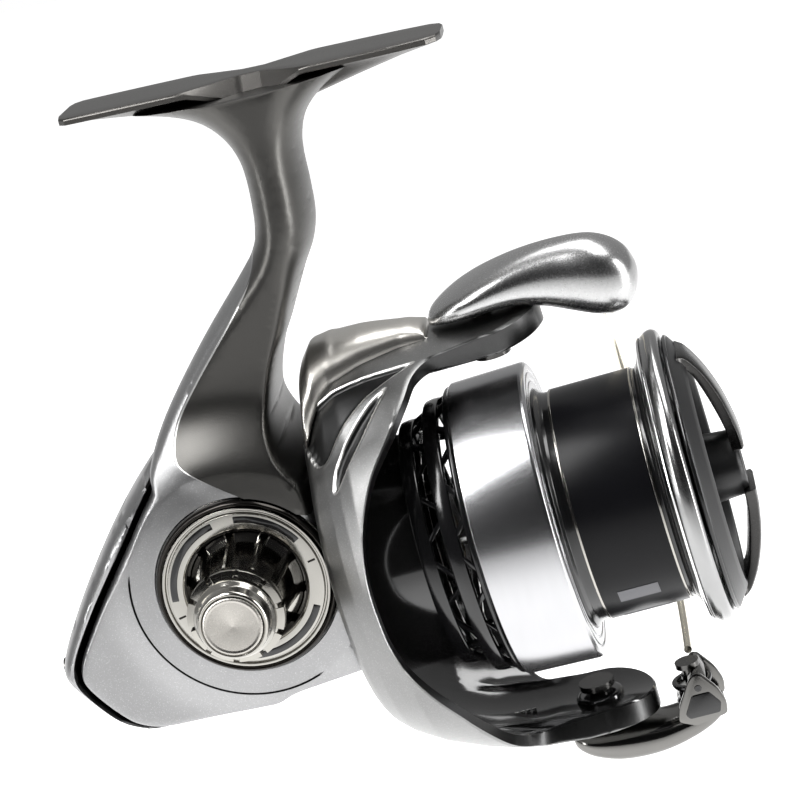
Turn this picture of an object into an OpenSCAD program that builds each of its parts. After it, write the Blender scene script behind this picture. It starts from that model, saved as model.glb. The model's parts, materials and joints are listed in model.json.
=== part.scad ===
/* [Foot and stem] */
// Length of the foot along the rod
foot_length = 54; // [50:1:60]
// Width of each tongue of the foot
foot_width = 15.4; // [14:0.2:17]
// Thickness of the foot over the stem
foot_thick = 4.2; // [3.6:0.2:5]
// Half width of the stem across the rod
stem_half = 4.6; // [4:0.2:5.4]

/* [Shaft line] */
// Distance from the foot's seat down to the shaft line
shaft_drop = 73.7; // [72:0.1:76]
// Angle by which the shaft line rises towards the nose
shaft_rise = 4.3; // [2:0.1:6]
// Travel of the spool to each side of its middle place
stroke_half = 5; // [4:0.5:5]

/* [Case] */
// Half thickness of the case
case_half = 13.4; // [13:0.2:14]
// Distance of the crank axis behind the seat's middle
crank_back = 18; // [17.6:0.1:18.4]
// Height of the crank axis over the shaft line
crank_lift = 6.3; // [6:0.1:6.6]
// Radius of the round housing for the drive gear
boss_radius = 16.8; // [16.2:0.2:17.2]

/* [Gears] */
// Teeth on the drive gear
drive_teeth = 48; // [48]
// Teeth on the pinion
pinion_teeth = 9; // [9]
// Radius of the drive gear's tooth ring
drive_ring = 10.8; // [10.8]
// Teeth on the small gear of the drive shaft
idler_teeth = 12; // [12]
// Teeth on the oscillation gear
osc_teeth = 32; // [32]

/* [Rotor] */
// Outer face of the upper arm from the shaft line
upper_outer = 31.4; // [31:0.2:31.8]
// Outer face of the lower arm from the shaft line
lower_outer = 33.4; // [33.2:0.2:34]
// Distance of the bail pivots ahead of the seat's middle
pivot_x = 23.3; // [23:0.1:23.6]
// Radius of the drum that runs inside the spool skirt
drum_radius = 16.3; // [16:0.1:16.5]

/* [Spool] */
// Radius of the skirt at its front edge
skirt_radius = 22; // [21.6:0.1:22.2]
// Radius of the arbor that holds the line
arbor_radius = 16.9; // [16.6:0.1:17.2]
// Front edge of the skirt
skirt_front = 26.7; // [26.5:0.1:27]
// Front edge of the lip
lip_front = 46.2; // [46:0.1:46.5]

/* [Handle] */
// Length of the handle from the crank axis to the knob axis
handle_length = 46; // [44:1:50]
// Angle of the handle below the shaft line
handle_angle = 37; // [30:1:45]

/* [Hidden] */
$fn = 48;
gap = 0.03;

// Everything but the foot is drawn along the shaft line: +X to the nose, +Z to the rod.
module rig() {
    rotate([0, -shaft_rise, 0]) translate([0, 0, -shaft_drop]) children();
}

// A disc or tube on the shaft line from x0 to x1.
module disc(x0, x1, r, bore = 0, sides = 64) {
    translate([x0, 0, 0]) rotate([0, 90, 0]) difference() {
        cylinder(h = x1 - x0, r = r, $fn = sides);
        if (bore > 0) translate([0, 0, -1]) cylinder(h = x1 - x0 + 2, r = bore, $fn = sides);
    }
}

// A ring turned on the shaft line from a profile of [x, radius] points.
module turned(profile, sides = 96) {
    rotate([0, 90, 0]) rotate([0, 0, 90])
        rotate_extrude($fn = sides) polygon([for (p = profile) [p[1], p[0]]]);
}

// A disc or tube on a cross axis along +Y through (x, z), from y0 to y1.
module cross_disc(x, z, y0, y1, r, bore = 0, sides = 64) {
    translate([x, y0, z]) rotate([-90, 0, 0]) difference() {
        cylinder(h = y1 - y0, r = r, $fn = sides);
        if (bore > 0) translate([0, 0, -1]) cylinder(h = y1 - y0 + 2, r = bore, $fn = sides);
    }
}

// A plate with its outline in the x-z plane, from y0 to y1.
module side_plate(outline, y0, y1) {
    translate([0, y1, 0]) rotate([90, 0, 0]) linear_extrude(y1 - y0) polygon(outline);
}

// A plate with its outline in the x-y plane, from z0 to z1.
module flat_plate(outline, z0, z1) {
    translate([0, 0, z0]) linear_extrude(z1 - z0) polygon(outline);
}

function arc(cx, cy, r, a0, a1, n) =
    [for (i = [0:n]) [cx + r * cos(a0 + (a1 - a0) * i / n), cy + r * sin(a0 + (a1 - a0) * i / n)]];

// ---- case, stem and foot ------------------------------------------------

crank_x = -crank_back;
crank_z = crank_lift;
case_front = -5.8;
foot_front = 30;
foot_rear = foot_front - foot_length;
tongue = foot_width / 2;
plate_radius = 12.15;
plate_face = -14.8;
gear_room = 12.4;
shank_radius = 2.8;
rod_z = -6.6;
rod_rear = -42;
rod_length = 22;

foot_plan = [
    [foot_rear, -tongue + 2.5], [foot_rear + 1, -tongue + 0.6], [foot_rear + 3, -tongue],
    [-7, -tongue + 0.4], [1.5, -5], [6, -5], [13, -tongue + 0.6],
    [foot_front - 4, -tongue], [foot_front - 1, -tongue + 0.8], [foot_front, -tongue + 3.2],
    [foot_front, tongue - 3.2], [foot_front - 1, tongue - 0.8], [foot_front - 4, tongue],
    [13, tongue - 0.6], [6, 5], [1.5, 5], [-7, tongue - 0.4],
    [foot_rear + 3, tongue], [foot_rear + 1, tongue - 0.6], [foot_rear, tongue - 2.5]
];

foot_side = [
    [foot_rear, 0], [foot_rear, -1.1], [-16, -2], [-6, -foot_thick + 0.6], [-2, -foot_thick - 1.6],
    [8.5, -foot_thick - 1.6], [12, -foot_thick + 0.4], [20, -2.6], [foot_front - 2, -2.2],
    [foot_front, -1.4], [foot_front, 0]
];

// Stem from under the foot down to the case: rear edge, then front edge.
stem_side = [
    [2, 70.5], [-2, 66], [-2.1, 60], [-2.5, 56], [-3.2, 52.5], [-4.6, 49], [-10, 42], [-12, 24],
    [case_front - 2, 16], [-8.6, 24], [-7.4, 30], [-5.2, 34.7], [-3, 37.9],
    [-0.5, 41.8], [1.6, 45], [3.8, 48.1], [5.2, 51.5], [5.8, 56], [6.2, 60], [7, 64], [10, 68.5]
];

// Upper case: the shoulder that runs from the stem to the tail.
shoulder_side = [
    [-4.8, 49], [-7.5, 46.5], [-16.3, 38.4], [-23.9, 30.4], [-27.2, 25.2], [-26, 10],
    [case_front, 10], [case_front - 2, 19], [-8.4, 26], [-7.4, 30], [-5.2, 34.7], [-4, 40]
];

// Outer edge of the tail, from the shoulder round to the bottom.
tail_edge = [
    [-28.5, 24.4], [-35.3, 18.5], [-42.3, 10.6], [-47.3, 4], [-49.7, 0.2], [-49.9, -2.3],
    [-48.4, -5.5], [-45, -10.4], [-41.6, -12.7], [-38, -13.9], [-22.5, -13.9]
];

// Seam of the rear cover, inside the tail's edge.
tail_seam = [
    [-27.6, 21.8], [-33.4, 15.8], [-39.9, 8.6], [-44.7, 2.6], [-46.8, -0.8], [-47, -2.6],
    [-45.8, -5], [-43, -9.2], [-40.6, -11.6], [-37, -12.9], [-24, -13]
];

function reverse(list) = [for (i = [len(list) - 1:-1:0]) list[i]];

case_side = concat(
    [[-24, 26], [-27.4, 22.6]],
    tail_seam,
    [
    [-22.3, -13.4], [-22.3, -13.9], [-19.5, -13.8], [-16, -12.7], [case_front, -11.6],
    [case_front, 14], [-8, 20], [-12, 25]
]
);

room_side = [
    [-25, 18], [-32, 12.6], [-38, 6], [-42.8, 0], [-44, -2.6], [-41.4, -7.6],
    [-37, -11.9], [-16, -11.9], [-8, -9], [-8, 9], [-12, 17], [-20, 20]
];

module foot_shape() {
    intersection() {
        flat_plate(foot_plan, -12, 0);
        side_plate(foot_side, -tongue - 1, tongue + 1);
    }
}

module case_outside() {
    side_plate(stem_side, -stem_half, stem_half);
    side_plate(shoulder_side, -7.6, 7.6);
    side_plate(case_side, -case_half + 1.6, case_half - 1.6);
    intersection() {
        cross_disc(crank_x, crank_z, plate_face, 14.4, boss_radius);
        translate([-60, -30, -14.2]) cube([60 + case_front, 60, 60]);
    }
    disc(case_front - 1, 2.8, 12);
}

module case_inside() {
    // room for the drive gear, open on the right for the engine plate
    cross_disc(crank_x, crank_z, -10, -2, gear_room);
    cross_disc(crank_x, crank_z, -20, -9, plate_radius + gap);
    // room for the slider and the oscillation gear, open at the tail
    side_plate(room_side, -8, 9.6);
    // left bearing and its cap
    cross_disc(crank_x, crank_z, 9, 12.6, 5.5 + gap);
    cross_disc(crank_x, crank_z, 12.5, 20, 7.5 + gap);
    // pinion bearing, clutch and shaft
    disc(-5.6, -2, 7 + gap);
    disc(-2.1, 5, 9 + gap);
    disc(-9, -5, 4.2);
    // seats of the guide rod
    disc_at(rod_rear - 0.5, rod_z, rod_length + 1, 1.03);
    // axle of the oscillation gear
    cross_disc(osc_x, osc_z, 8, 12, 1.53);
    // holes for the screws of the rear cover
    rear_screw_place() cylinder(h = 10, r = 0.85, center = true, $fn = 24);
    for (a = [30, 150, 270]) rotate([a, 0, 0]) translate([1, 0, 10.5]) rotate([0, 90, 0])
        cylinder(h = 4, r = 0.65, $fn = 24);
}

module disc_at(x, z, length, r) {
    translate([x, 0, z]) rotate([0, 90, 0]) cylinder(h = length, r = r, $fn = 32);
}

module rear_screw_place() {
    for (y = [-6, 6]) translate([-47.4, y, -2]) rotate([0, 90, 0]) children();
}

module body_case() {
    color("slategray") {
        difference() {
            union() {
                foot_shape();
                rig() case_outside();
            }
            rig() case_inside();
            rig() pinion_bush_seat();
        }
        rig() bush_wall();
    }
}

// A web across the case that carries the pinion's rear bush.
module bush_wall() {
    difference() {
        translate([-14.8, -2.9, -12.2]) cube([2.4, 12.6, 16.4]);
        disc(-16, -10, 3 + gap);
        cross_disc(crank_x, crank_z, -5, 12, 4.6);
        cross_disc(crank_x, crank_z, 8.9, 12, 5.6);
    }
}

module pinion_bush_seat() {
    disc(-14.9, -12.3, 3 + gap);
}

module rear_cover() {
    color("dimgray") rig() difference() {
        side_plate(concat(tail_edge, reverse([for (p = tail_seam) p + [-0.25, -0.05]])), -11.6, 11.6);
        rear_screw_place() cylinder(h = 8, r = 0.85, center = true, $fn = 24);
        rear_screw_place() translate([0, 0, -6]) cylinder(h = 4.3, r = 1.8, $fn = 32);
    }
}

module rear_cover_screws() {
    color("dimgray") rig() rear_screw_place() {
        translate([0, 0, -2.6]) cylinder(h = 0.87, r = 1.7, $fn = 32);
        translate([0, 0, -2]) cylinder(h = 4.6, r = 0.8, $fn = 24);
    }
}

module engine_plate() {
    color("silver") rig() difference() {
        union() {
            cross_disc(crank_x, crank_z, plate_face, -9.2, plate_radius - gap);
            cross_disc(crank_x, crank_z, -16, plate_face - gap, plate_radius + 0.45);
            cross_disc(crank_x, crank_z, -15.5, -10, plate_radius - 2);
        }
        // bowl round the cap
        cross_disc(crank_x, crank_z, -17, -13.6, 9.8);
        cross_disc(crank_x, crank_z, -14, -10.2, 5.5 + gap);
        cross_disc(crank_x, crank_z, -11, -9, 4.2);
        // notches for the tool that turns the plate
        for (a = [0:60:300]) translate([crank_x, -16, crank_z]) rotate([0, a, 0])
            translate([11.4, -0.5, -0.7]) cube([2, 1.2, 1.4]);
    }
}

module plate_seal() {
    color("black") rig() cross_disc(crank_x, crank_z, -9.1, -8.5, gear_room - 0.1, gear_room - 0.3);
}

module bearing_cross(y0, y1, r, bore) {
    cross_disc(crank_x, crank_z, y0, y1, r, r - 0.9);
    cross_disc(crank_x, crank_z, y0, y1, bore + 0.8, bore);
    cross_disc(crank_x, crank_z, y0 + 0.3, y1 - 0.3, r - 0.85, bore + 0.75);
}

module drive_bearing_right() {
    color("silver") rig() bearing_cross(-13.3, -10.3, 5.5, shank_radius + gap);
}

module drive_bearing_left() {
    color("silver") rig() bearing_cross(9.3, 12.3, 5.5, shank_radius + gap);
}

module left_bearing_cap() {
    color("dimgray") rig() difference() {
        union() {
            cross_disc(crank_x, crank_z, 12.7, 15.4, 7.5);
            cross_disc(crank_x, crank_z, 14.5, 16, 8.4);
        }
        cross_disc(crank_x, crank_z, 12, 17, 4.4);
    }
}

module pinion_bearing() {
    color("silver") rig() {
        disc(-5.5, -2.2, 7, 6.1);
        disc(-5.5, -2.2, 4.7, 3.8 + gap);
        disc(-5.2, -2.5, 6.15, 4.65);
    }
}

module pinion_bush() {
    color("gold") rig() disc(-14.7, -12.5, 3, 2.2 + gap);
}

module clutch_ring() {
    color("dimgray") rig() disc(-1.9, 2.4, 9, 6.9);
}

module clutch_rollers() {
    color("silver") rig() for (a = [0:60:300]) rotate([a, 0, 0]) translate([-1.7, 0, 5.95])
        rotate([0, 90, 0]) cylinder(h = 3.9, r = 0.85, $fn = 24);
}

module clutch_retainer() {
    color("gray") rig() difference() {
        disc(2.9, 3.5, 12, 5.2);
        for (a = [30, 150, 270]) rotate([a, 0, 0]) translate([2, 0, 10.5]) rotate([0, 90, 0])
            cylinder(h = 3, r = 0.8, $fn = 24);
    }
}

module retainer_screws() {
    color("silver") rig() for (a = [30, 150, 270]) rotate([a, 0, 0]) translate([1.1, 0, 10.5])
        rotate([0, 90, 0]) {
            cylinder(h = 2.6, r = 0.6, $fn = 24);
            translate([0, 0, 2.45]) cylinder(h = 0.5, r = 1.1, $fn = 24);
        }
}

module guide_rod() {
    color("silver") rig() disc_at(rod_rear, rod_z, rod_length, 1);
}

// ---- crank and gears ----------------------------------------------------

osc_ratio = idler_teeth / osc_teeth;
gear_module = 0.6;
idler_pitch = idler_teeth * gear_module / 2;
osc_pitch = osc_teeth * gear_module / 2;
osc_back = 10.6;
osc_x = crank_x - osc_back;
osc_z = crank_z - sqrt(pow(idler_pitch + osc_pitch + 0.05, 2) - osc_back * osc_back);
mesh_x = sqrt(drive_ring * drive_ring - crank_lift * crank_lift);
pinion_pitch = 3.2;
ratio = drive_teeth / pinion_teeth;
// slope of the teeth where drive gear and pinion meet
tooth_slope = (ratio * pinion_pitch - mesh_x) / crank_lift;
tooth_angle = atan(tooth_slope);
mesh_angle = atan(crank_lift / mesh_x);

module spur(teeth, pitch, y0, y1, bore, phase) {
    step = 360 / teeth;
    outer = pitch + gear_module * 0.7;
    root = pitch - gear_module;
    outline = [for (i = [0:teeth - 1]) for (k = [[-0.26, root], [-0.1, outer], [0.1, outer], [0.26, root]])
        [k[1] * cos((i + k[0]) * step + phase), k[1] * sin((i + k[0]) * step + phase)]];
    translate([0, y1, 0]) rotate([90, 0, 0]) linear_extrude(y1 - y0) difference() {
        polygon(outline);
        circle(r = bore, $fn = 48);
    }
}

module drive_gear() {
    color("goldenrod") rig() translate([crank_x, 0, crank_z]) {
        difference() {
            union() {
                cross_disc(0, 0, -6.8, -4.2, 11.9);
                cross_disc(0, 0, -8.9, -4.2, 5.4);
                cross_disc(0, 0, -13.3, 12.4, shank_radius);
                for (i = [0:drive_teeth - 1]) rotate([0, mesh_angle + i * 360 / drive_teeth, 0])
                    translate([drive_ring, -4.3, 0]) rotate([0, tooth_angle - mesh_angle, 0])
                        translate([-1.05, 0, -0.22]) cube([2.1, 1.2, 0.44]);
            }
            cross_disc(0, 0, -15, 15, 1.9 + gap);
            for (a = [0:72:288]) rotate([0, a, 0]) cross_disc(7.4, 0, -8, -3, 1.3, 0, 32);
        }
        spur(idler_teeth, idler_pitch, 4.8, 7.4, shank_radius - 0.1, 0);
    }
}

module crank_cap() {
    color("gray") rig() translate([crank_x, 0, crank_z]) difference() {
        union() {
            rotate([90, 0, 0]) translate([0, 0, 13.9]) cylinder(h = 10.9, r1 = 7.2, r2 = 4.8, $fn = 64);
            for (a = [0:36:324]) rotate([0, a, 0]) translate([0, -20.5, 0])
                translate([4, 0, -0.8]) cube([4.4, 5.5, 1.6]);
        }
        cross_disc(0, 0, -23, -13, 4);
        cross_disc(0, 0, -25.5, -22, 1.9 + gap);
    }
}

module cap_disc() {
    color("silver") rig() cross_disc(crank_x, crank_z, -25.9, -24.82, 3.8);
}

hub_y = 29;
module handle_shaft() {
    color("silver") rig() {
        cross_disc(crank_x, crank_z, -24.7, hub_y, 1.9);
        cross_disc(crank_x, crank_z, 12.45, 16.5, 4.2, 1.8);
        translate([crank_x, 16.4, crank_z]) rotate([-90, 0, 0])
            cylinder(h = hub_y - 17, r1 = 7.4, r2 = 5, $fn = 64);
        cross_disc(crank_x, crank_z, -22.9, -21.9, 3.4, 1.8);
    }
}

knob_x = crank_x + handle_length * cos(handle_angle);
knob_z = crank_z - handle_length * sin(handle_angle);
knob_y = 46;

// The arm lies in the plane of the crank axis: [distance along the arm, y].
arm_bend = [
    [-6, hub_y - 0.6], [7, hub_y - 0.6], [19, 37.6], [30, 41.5], [handle_length + 6, 43],
    [handle_length + 6, 46], [29, 45], [17, 41.8], [5, 33], [-6, 33]
];

module handle_arm() {
    color("slategray") rig() translate([crank_x, 0, crank_z]) rotate([0, handle_angle, 0])
        difference() {
            intersection() {
                translate([0, 0, -8]) linear_extrude(16) polygon(arm_bend);
                union() {
                    cross_disc(0, 0, 20, 50, 6.2);
                    cross_disc(handle_length, 0, 20, 50, 5.2);
                    side_plate([[0, -6], [handle_length, -4.4], [handle_length, 4.4], [0, 6]], 20, 50);
                }
            }
            cross_disc(0, 0, 20, 50, 1.9 + gap);
            cross_disc(handle_length, 0, 20, 50, 2 + gap);
        }
}

module knob_spindle() {
    color("silver") rig() {
        cross_disc(knob_x, knob_z, 42.6, 68, 2);
        cross_disc(knob_x, knob_z, 46.1, 47.2, 3.2);
        cross_disc(knob_x, knob_z, 68, 69, 2.9);
    }
}

module handle_knob() {
    color("black") rig() translate([knob_x, 0, knob_z]) rotate([-90, 0, 0]) difference() {
        rotate_extrude($fn = 64) polygon([
            [4.2, 47.4], [6.5, 47.4], [7, 49], [5.6, 53], [5.4, 58], [7.6, 64], [9, 69], [9, 72],
            [8, 74], [4.2, 74]
        ]);
        translate([0, 0, 40]) cylinder(h = 40, r = 3.6, $fn = 48);
    }
}

module knob_cap() {
    color("silver") rig() cross_disc(knob_x, knob_z, 72, 73.6, 4.15);
}

module knob_bushes() {
    color("silver") rig() for (y = [48, 64.5])
        cross_disc(knob_x, knob_z, y, y + 3, 4.17, 2 + gap);
}

module oscillation_gear() {
    color("ivory") rig() translate([osc_x, 0, osc_z]) {
        // a tooth gap faces the small gear at rest
        spur(osc_teeth, osc_pitch, 4.9, 7.3, 1.5 + gap, mesh_phase);
        cross_disc(0, stroke_half, 2.9, 5, 1.3);
    }
}

// Phase of the oscillation gear at which its gap meets the small gear's tooth.
center_angle = atan2(osc_z - crank_z, osc_x - crank_x);
small_at_mesh = (center_angle / (360 / idler_teeth)) - floor(center_angle / (360 / idler_teeth));
mesh_phase = center_angle + 180 + (0.5 + small_at_mesh) * 360 / osc_teeth;

module oscillation_axle() {
    color("silver") rig() {
        cross_disc(osc_x, osc_z, 4.5, 11.6, 1.5);
        cross_disc(osc_x, osc_z, 4, 4.75, 2.2);
    }
}

// ---- shaft and slider ---------------------------------------------------

module main_shaft() {
    color("silver") rig() difference() {
        disc(-35.4, 49, 1.5, 0, 48);
        for (s = [-1, 1]) translate([38, s * 2.25 - 1, -3]) cube([12, 2, 6]);
    }
}

module slider() {
    color("ivory") rig() difference() {
        union() {
            translate([osc_x - 2.4, -2.7, osc_z - 7.4]) cube([4.8, 5.3, 14.8]);
            translate([osc_x - 6.4, -2.7, -2.9]) cube([12.8, 5.3, 5.8]);
        }
        // groove for the crank pin of the oscillation gear
        translate([osc_x - 1.4, 1.6, osc_z - 6.4]) cube([2.8, 4, 12.8]);
        disc(-50, -10, 1.5 + gap);
        disc_at(-50, rod_z, 40, 1.05);
        translate([osc_x - 4.6, 0, -5]) cylinder(h = 10, r = 0.65, $fn = 24);
    }
}

module slider_screws() {
    color("silver") rig() for (a = [0, 180]) translate([osc_x - 4.6, 0, 0]) rotate([a, 0, 0]) {
        translate([0, 0, 1.55]) cylinder(h = 1.6, r = 0.62, $fn = 24);
        translate([0, 0, 2.93]) cylinder(h = 0.8, r = 1.1, $fn = 24);
    }
}

module shaft_sleeve() {
    color("silver") rig() {
        disc(20.5, 33.6, 2.6, 1.5 + gap);
        disc(20.5, 22, 4.5, 2.5);
    }
}

module shaft_washer() {
    color("ivory") rig() disc(19.6, 20.4, 4, 1.5 + gap);
}

// ---- spool --------------------------------------------------------------

lip_back = 42.4;
module spool() {
    color("silver") rig() difference() {
        turned([
            [15.2, skirt_radius - 2], [15.2, skirt_radius - 0.6], [26, skirt_radius],
            [skirt_front, skirt_radius - 0.5], [skirt_front, arbor_radius + 1],
            [27.6, arbor_radius], [41.5, arbor_radius], [lip_back, arbor_radius + 1],
            [lip_back, 18.6], [45.4, 18.6], [45.4, 11.6], [35.4, 11.6], [35.4, 10.4],
            [34.2, 10.4], [34.2, 2.66], [22.4, 2.66], [22.4, 6], [31, 6], [31, 14.6],
            [25, 14.6], [24.4, 20], [17, 20]
        ]);
        // pocket of the line clip
        rotate([-70, 0, 0]) translate([17.97, -2.23, skirt_radius - 1]) cube([5.06, 4.46, 3]);
        // lightening holes in the front wall of the skirt
        for (a = [0:45:315]) rotate([a + 22, 0, 0]) translate([20, 0, 8.4]) rotate([0, 90, 0])
            cylinder(h = 20, r = 1.6, $fn = 32);
    }
}

// Two rings joined by slanted struts, behind the skirt.
module skirt_frame() {
    color("black") rig() {
        turned([[7, 17.1], [7, 18.1], [9.2, 18.3], [9.2, 17.1]]);
        turned([[11.2, 18.6], [11.2, 20.1], [13.2, 20.4], [13.2, 18.6]]);
        turned([[14.6, 19], [14.6, 21.2], [15.17, 21.3], [15.17, 19]]);
        for (i = [0:11]) for (s = [-1, 1]) rotate([i * 30, 0, 0]) strut(s);
    }
}

module strut(s) {
    // one bar from the rear ring to the middle ring, one from there to the skirt
    rotate([4 * s, 0, 0]) translate([10.2, 0, 18.3]) rotate([0, -30, 0]) rotate([0, 0, 38 * s])
        cube([4, 1, 0.9], center = true);
    rotate([11 * s, 0, 0]) translate([13.7, 0, 19.8]) rotate([0, -20, 0]) rotate([0, 0, 38 * s])
        cube([2.3, 1, 0.9], center = true);
}

module spool_lip() {
    color("silver") rig() turned([
        [lip_back + gap, 18.65], [43.2, 20.6], [44.6, 21.6], [45.6, 21.6], [lip_front, 20.8],
        [lip_front, 18.9], [45.6, 18.65]
    ]);
}

module arbor_wrap() {
    color("black") rig() disc(29.1, 40.8, arbor_radius + 0.2, arbor_radius + gap, 96);
}

module drag_felts() {
    color("saddlebrown") rig() for (x = [35.5, 38, 40.5]) disc(x, x + 1, 10.2, 2.8);
}

module drag_plates() {
    color("silver") rig() for (x = [36.7, 39.2, 41.7]) disc(x, x + 1, 11.2, 2.8);
}

module drag_retainer() {
    color("silver") rig() disc(43, 43.6, 11.58, 9.6);
}

module line_clip() {
    color("silver") rig() rotate([-70, 0, 0]) translate([18, -2.2, skirt_radius - 0.97])
        cube([5, 4.4, 1.35]);
}

// ---- drag knob ----------------------------------------------------------

module drag_knob() {
    color("black") rig() difference() {
        union() {
            turned([[46.5, 17.4], [46.5, 20], [47.6, 20.2], [49, 19], [49, 17]]);
            disc(44.2, 47.4, 9, 3.2);
            disc(47.2, 53, 5.2, 1.55);
            for (a = [90, 270]) rotate([a, 0, 0]) translate([46.5, -5, 0]) cube([2.4, 10, 17.8]);
        }
        disc(40, 50, 1.55);
        disc(43, 51.4, 3.4);
    }
}

// Two arched grips that run over the nose of the knob.
module knob_arches() {
    color("dimgray") rig() for (a = [0, 180]) rotate([a, 0, 0]) difference() {
        intersection() {
            turned([[49.03, 19], [50.8, 16.6], [52.8, 11.6], [53.8, 5.3], [52, 5.3], [51, 11.6],
                [49.6, 15.2], [49.03, 16.6]]);
            translate([45, -4.6, 5.4]) cube([12, 9.2, 16]);
        }
        disc(45, 60, 5.25);
    }
}

module drag_nut() {
    color("silver") rig() disc(47.5, 50, 3.3, 1.55);
}

module drag_spring() {
    color("silver") rig() for (x = [44.3, 45.3, 46.3]) disc(x, x + 0.6, 3.1, 2.3);
}

// ---- rotor --------------------------------------------------------------

arm_plan = concat(
    arc(pivot_x, 0, 8.4, 90, -90, 16),
    [
        [17, -8.7], [13.3, -9.1], [12.4, -14.5], [11, -20], [8, -27], [2, -32], [-6, -32],
        [-6, 32], [2, 32], [8, 27], [11, 20], [12.4, 14.5], [13.3, 9.1], [17, 8.7]
    ]
);

// The flared wall that turns into the two arms: [x, radius] outside, then inside.
upper_flare = [
    [-5, 20.4], [-5, 24.4], [-3.6, 27.6], [-1.5, 29.7], [1.5, 31], [6, upper_outer],
    [17, upper_outer], [17, 27], [10, 27], [4, 25.2], [-2, 23], [-3.2, 20.4]
];
side_flare = [
    [-5, 20], [-5, 22.6], [-4, 24], [-2, 25.8], [2, 28.2], [8, 30.6], [10, 31.1],
    [32, 31.1], [32, 27.6], [15, 27.6], [8, 27.4], [2, 25.8], [-2, 23.4], [-3.4, 20]
];
lower_flare = [
    [-5, 20], [-5, 22.6], [-4, 24], [-2, 25.8], [2, 28.2], [8, 30.6], [15, 32.6], [21, lower_outer],
    [32, lower_outer], [32, 28.6], [15, 28], [8, 27.4], [2, 25.8], [-2, 23.4], [-3.4, 20]
];

root_plan = [[-6, -9.6], [2, -10.4], [12, -9.2], [18, -8.2], [18, 8.2], [12, 9.2], [2, 10.4], [-6, 9.6]];

module half(s) {
    translate([-20, -40, s > 0 ? 0 : -40]) cube([60, 80, 40]);
}

module rotor() {
    color("slategray") rig() difference() {
        union() {
            for (s = [-1, 1]) intersection() {
                turned(s > 0 ? side_flare : lower_flare);
                half(s);
                flat_plate(arm_plan, -40, 40);
            }
            // square root of the upper arm
            intersection() {
                turned(upper_flare);
                flat_plate(root_plan, 14, 40);
            }
            // rear wall, drum and hub
            disc(-5, -3.4, 22.8, 14.8, 96);
            disc(-5, 9.5, drum_radius, 14.8, 96);
            disc(4.2, 6.6, 15, 3.53);
            for (s = [-1, 1]) pivot_boss(s);
            translate([kick_x, 0, 27.4]) cylinder(h = 2, r = 0.8, $fn = 24);
        }
        // open sides: the walls sweep back between the arms
        for (y = [-40, 16.5]) translate([31.7, y, 2]) rotate([-90, 0, 0])
            cylinder(h = 23.5, r = 30.9, $fn = 96);
        // pivot holes and the hollow in each arm under its cover
        for (s = [-1, 1]) translate([pivot_x, 0, s > 0 ? 20 : -40])
            cylinder(h = 20, r = 1.5 + gap, $fn = 32);
        difference() {
            translate([1, -5.5, 27.8]) cube([14, 11, 12]);
            translate([kick_x, 0, 27]) cylinder(h = 2.4, r = 0.8, $fn = 24);
        }
        translate([4, -5.5, -40]) cube([11, 11, 11]);
        // way of the kick lever through the rear wall and the arm's floor
        translate([-6, -1.5, 21.8]) cube([6.5, 5.4, 4.4]);
        translate([1.9, -1.6, 22]) cube([2.8, 4.9, 8]);
    }
}

kick_x = 7.2;
module pivot_boss(s) {
    translate([pivot_x, 0, s > 0 ? 26 : -29]) cylinder(h = 0.8, r = 3.2, $fn = 48);
}

module arm_cover(profile, x0, s) {
    difference() {
        intersection() {
            turned(profile);
            translate([x0, -5.4, s > 0 ? 20 : -40]) cube([14.9 - x0, 10.8, s > 0 ? 20 : 10.9]);
        }
        translate([12.5, 0, s > 0 ? 20 : -40]) cylinder(h = 20, r = 0.9, $fn = 24);
    }
}

module arm_cover_upper() {
    color("silver") rig() arm_cover([
        [1.1, 30.7], [1.5, 31], [6, upper_outer], [14.9, upper_outer],
        [14.9, 30.1], [6, 30.1], [1.1, 29.5]
    ], 1.1, 1);
}

module arm_cover_lower() {
    color("silver") rig() arm_cover([
        [4.1, 29.2], [8, 30.6], [14.9, 32.6], [14.9, 31.3], [8, 29.6], [4.1, 29.02]
    ], 4.1, -1);
}

module bail_spring() {
    color("silver") rig() for (k = [0:4]) translate([13 - k * 0.9, 0, -29.5]) rotate([0, 90, 0])
        difference() {
            cylinder(h = 0.6, r = 0.45, $fn = 24);
            translate([0, 0, -1]) cylinder(h = 3, r = 0.2, $fn = 24);
        }
}

module kick_lever() {
    color("silver") rig() difference() {
        union() {
            translate([kick_x, 0, 28]) cylinder(h = 1, r = 1.9, $fn = 32);
            translate([2.7, -0.9, 28]) cube([4.5, 1.8, 1]);
            translate([2.7, -0.9, 22.9]) cube([1.2, 1.8, 6.1]);
            translate([-5, -0.9, 22.9]) cube([8.4, 1.8, 1]);
        }
        translate([kick_x, 0, 27]) cylinder(h = 4, r = 0.8 + gap, $fn = 24);
    }
}

module pinion_gear() {
    color("gold") rig() difference() {
        union() {
            pinion_teeth_part();
            disc(-14.9, -11.9, 2.2);
            disc(-12.1, -6.4, 2.6);
            disc(-6.5, 10.2, 3.5);
            disc(-6.5, -2.1, 3.8);
        }
        disc(-20, 12, 1.5 + gap);
    }
}

module pinion_teeth_part() {
    length = 5;
    start = crank_x + mesh_x - length / 2;
    turn = tooth_slope / pinion_pitch * 180 / PI;
    step = 360 / pinion_teeth;
    tip = pinion_pitch + 0.4;
    root = pinion_pitch - 0.55;
    outline = [for (i = [0:pinion_teeth - 1])
        for (k = [[-0.27, root], [-0.1, tip], [0.1, tip], [0.27, root]])
            [k[1] * cos((i + k[0]) * step), k[1] * sin((i + k[0]) * step)]];
    // half way along, a gap faces the drive gear
    translate([start, 0, 0]) rotate([0, 90, 0])
        rotate([0, 0, -90 + step / 2 - turn * length / 2])
            linear_extrude(length, twist = -turn * length, slices = 16) polygon(outline);
}

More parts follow.
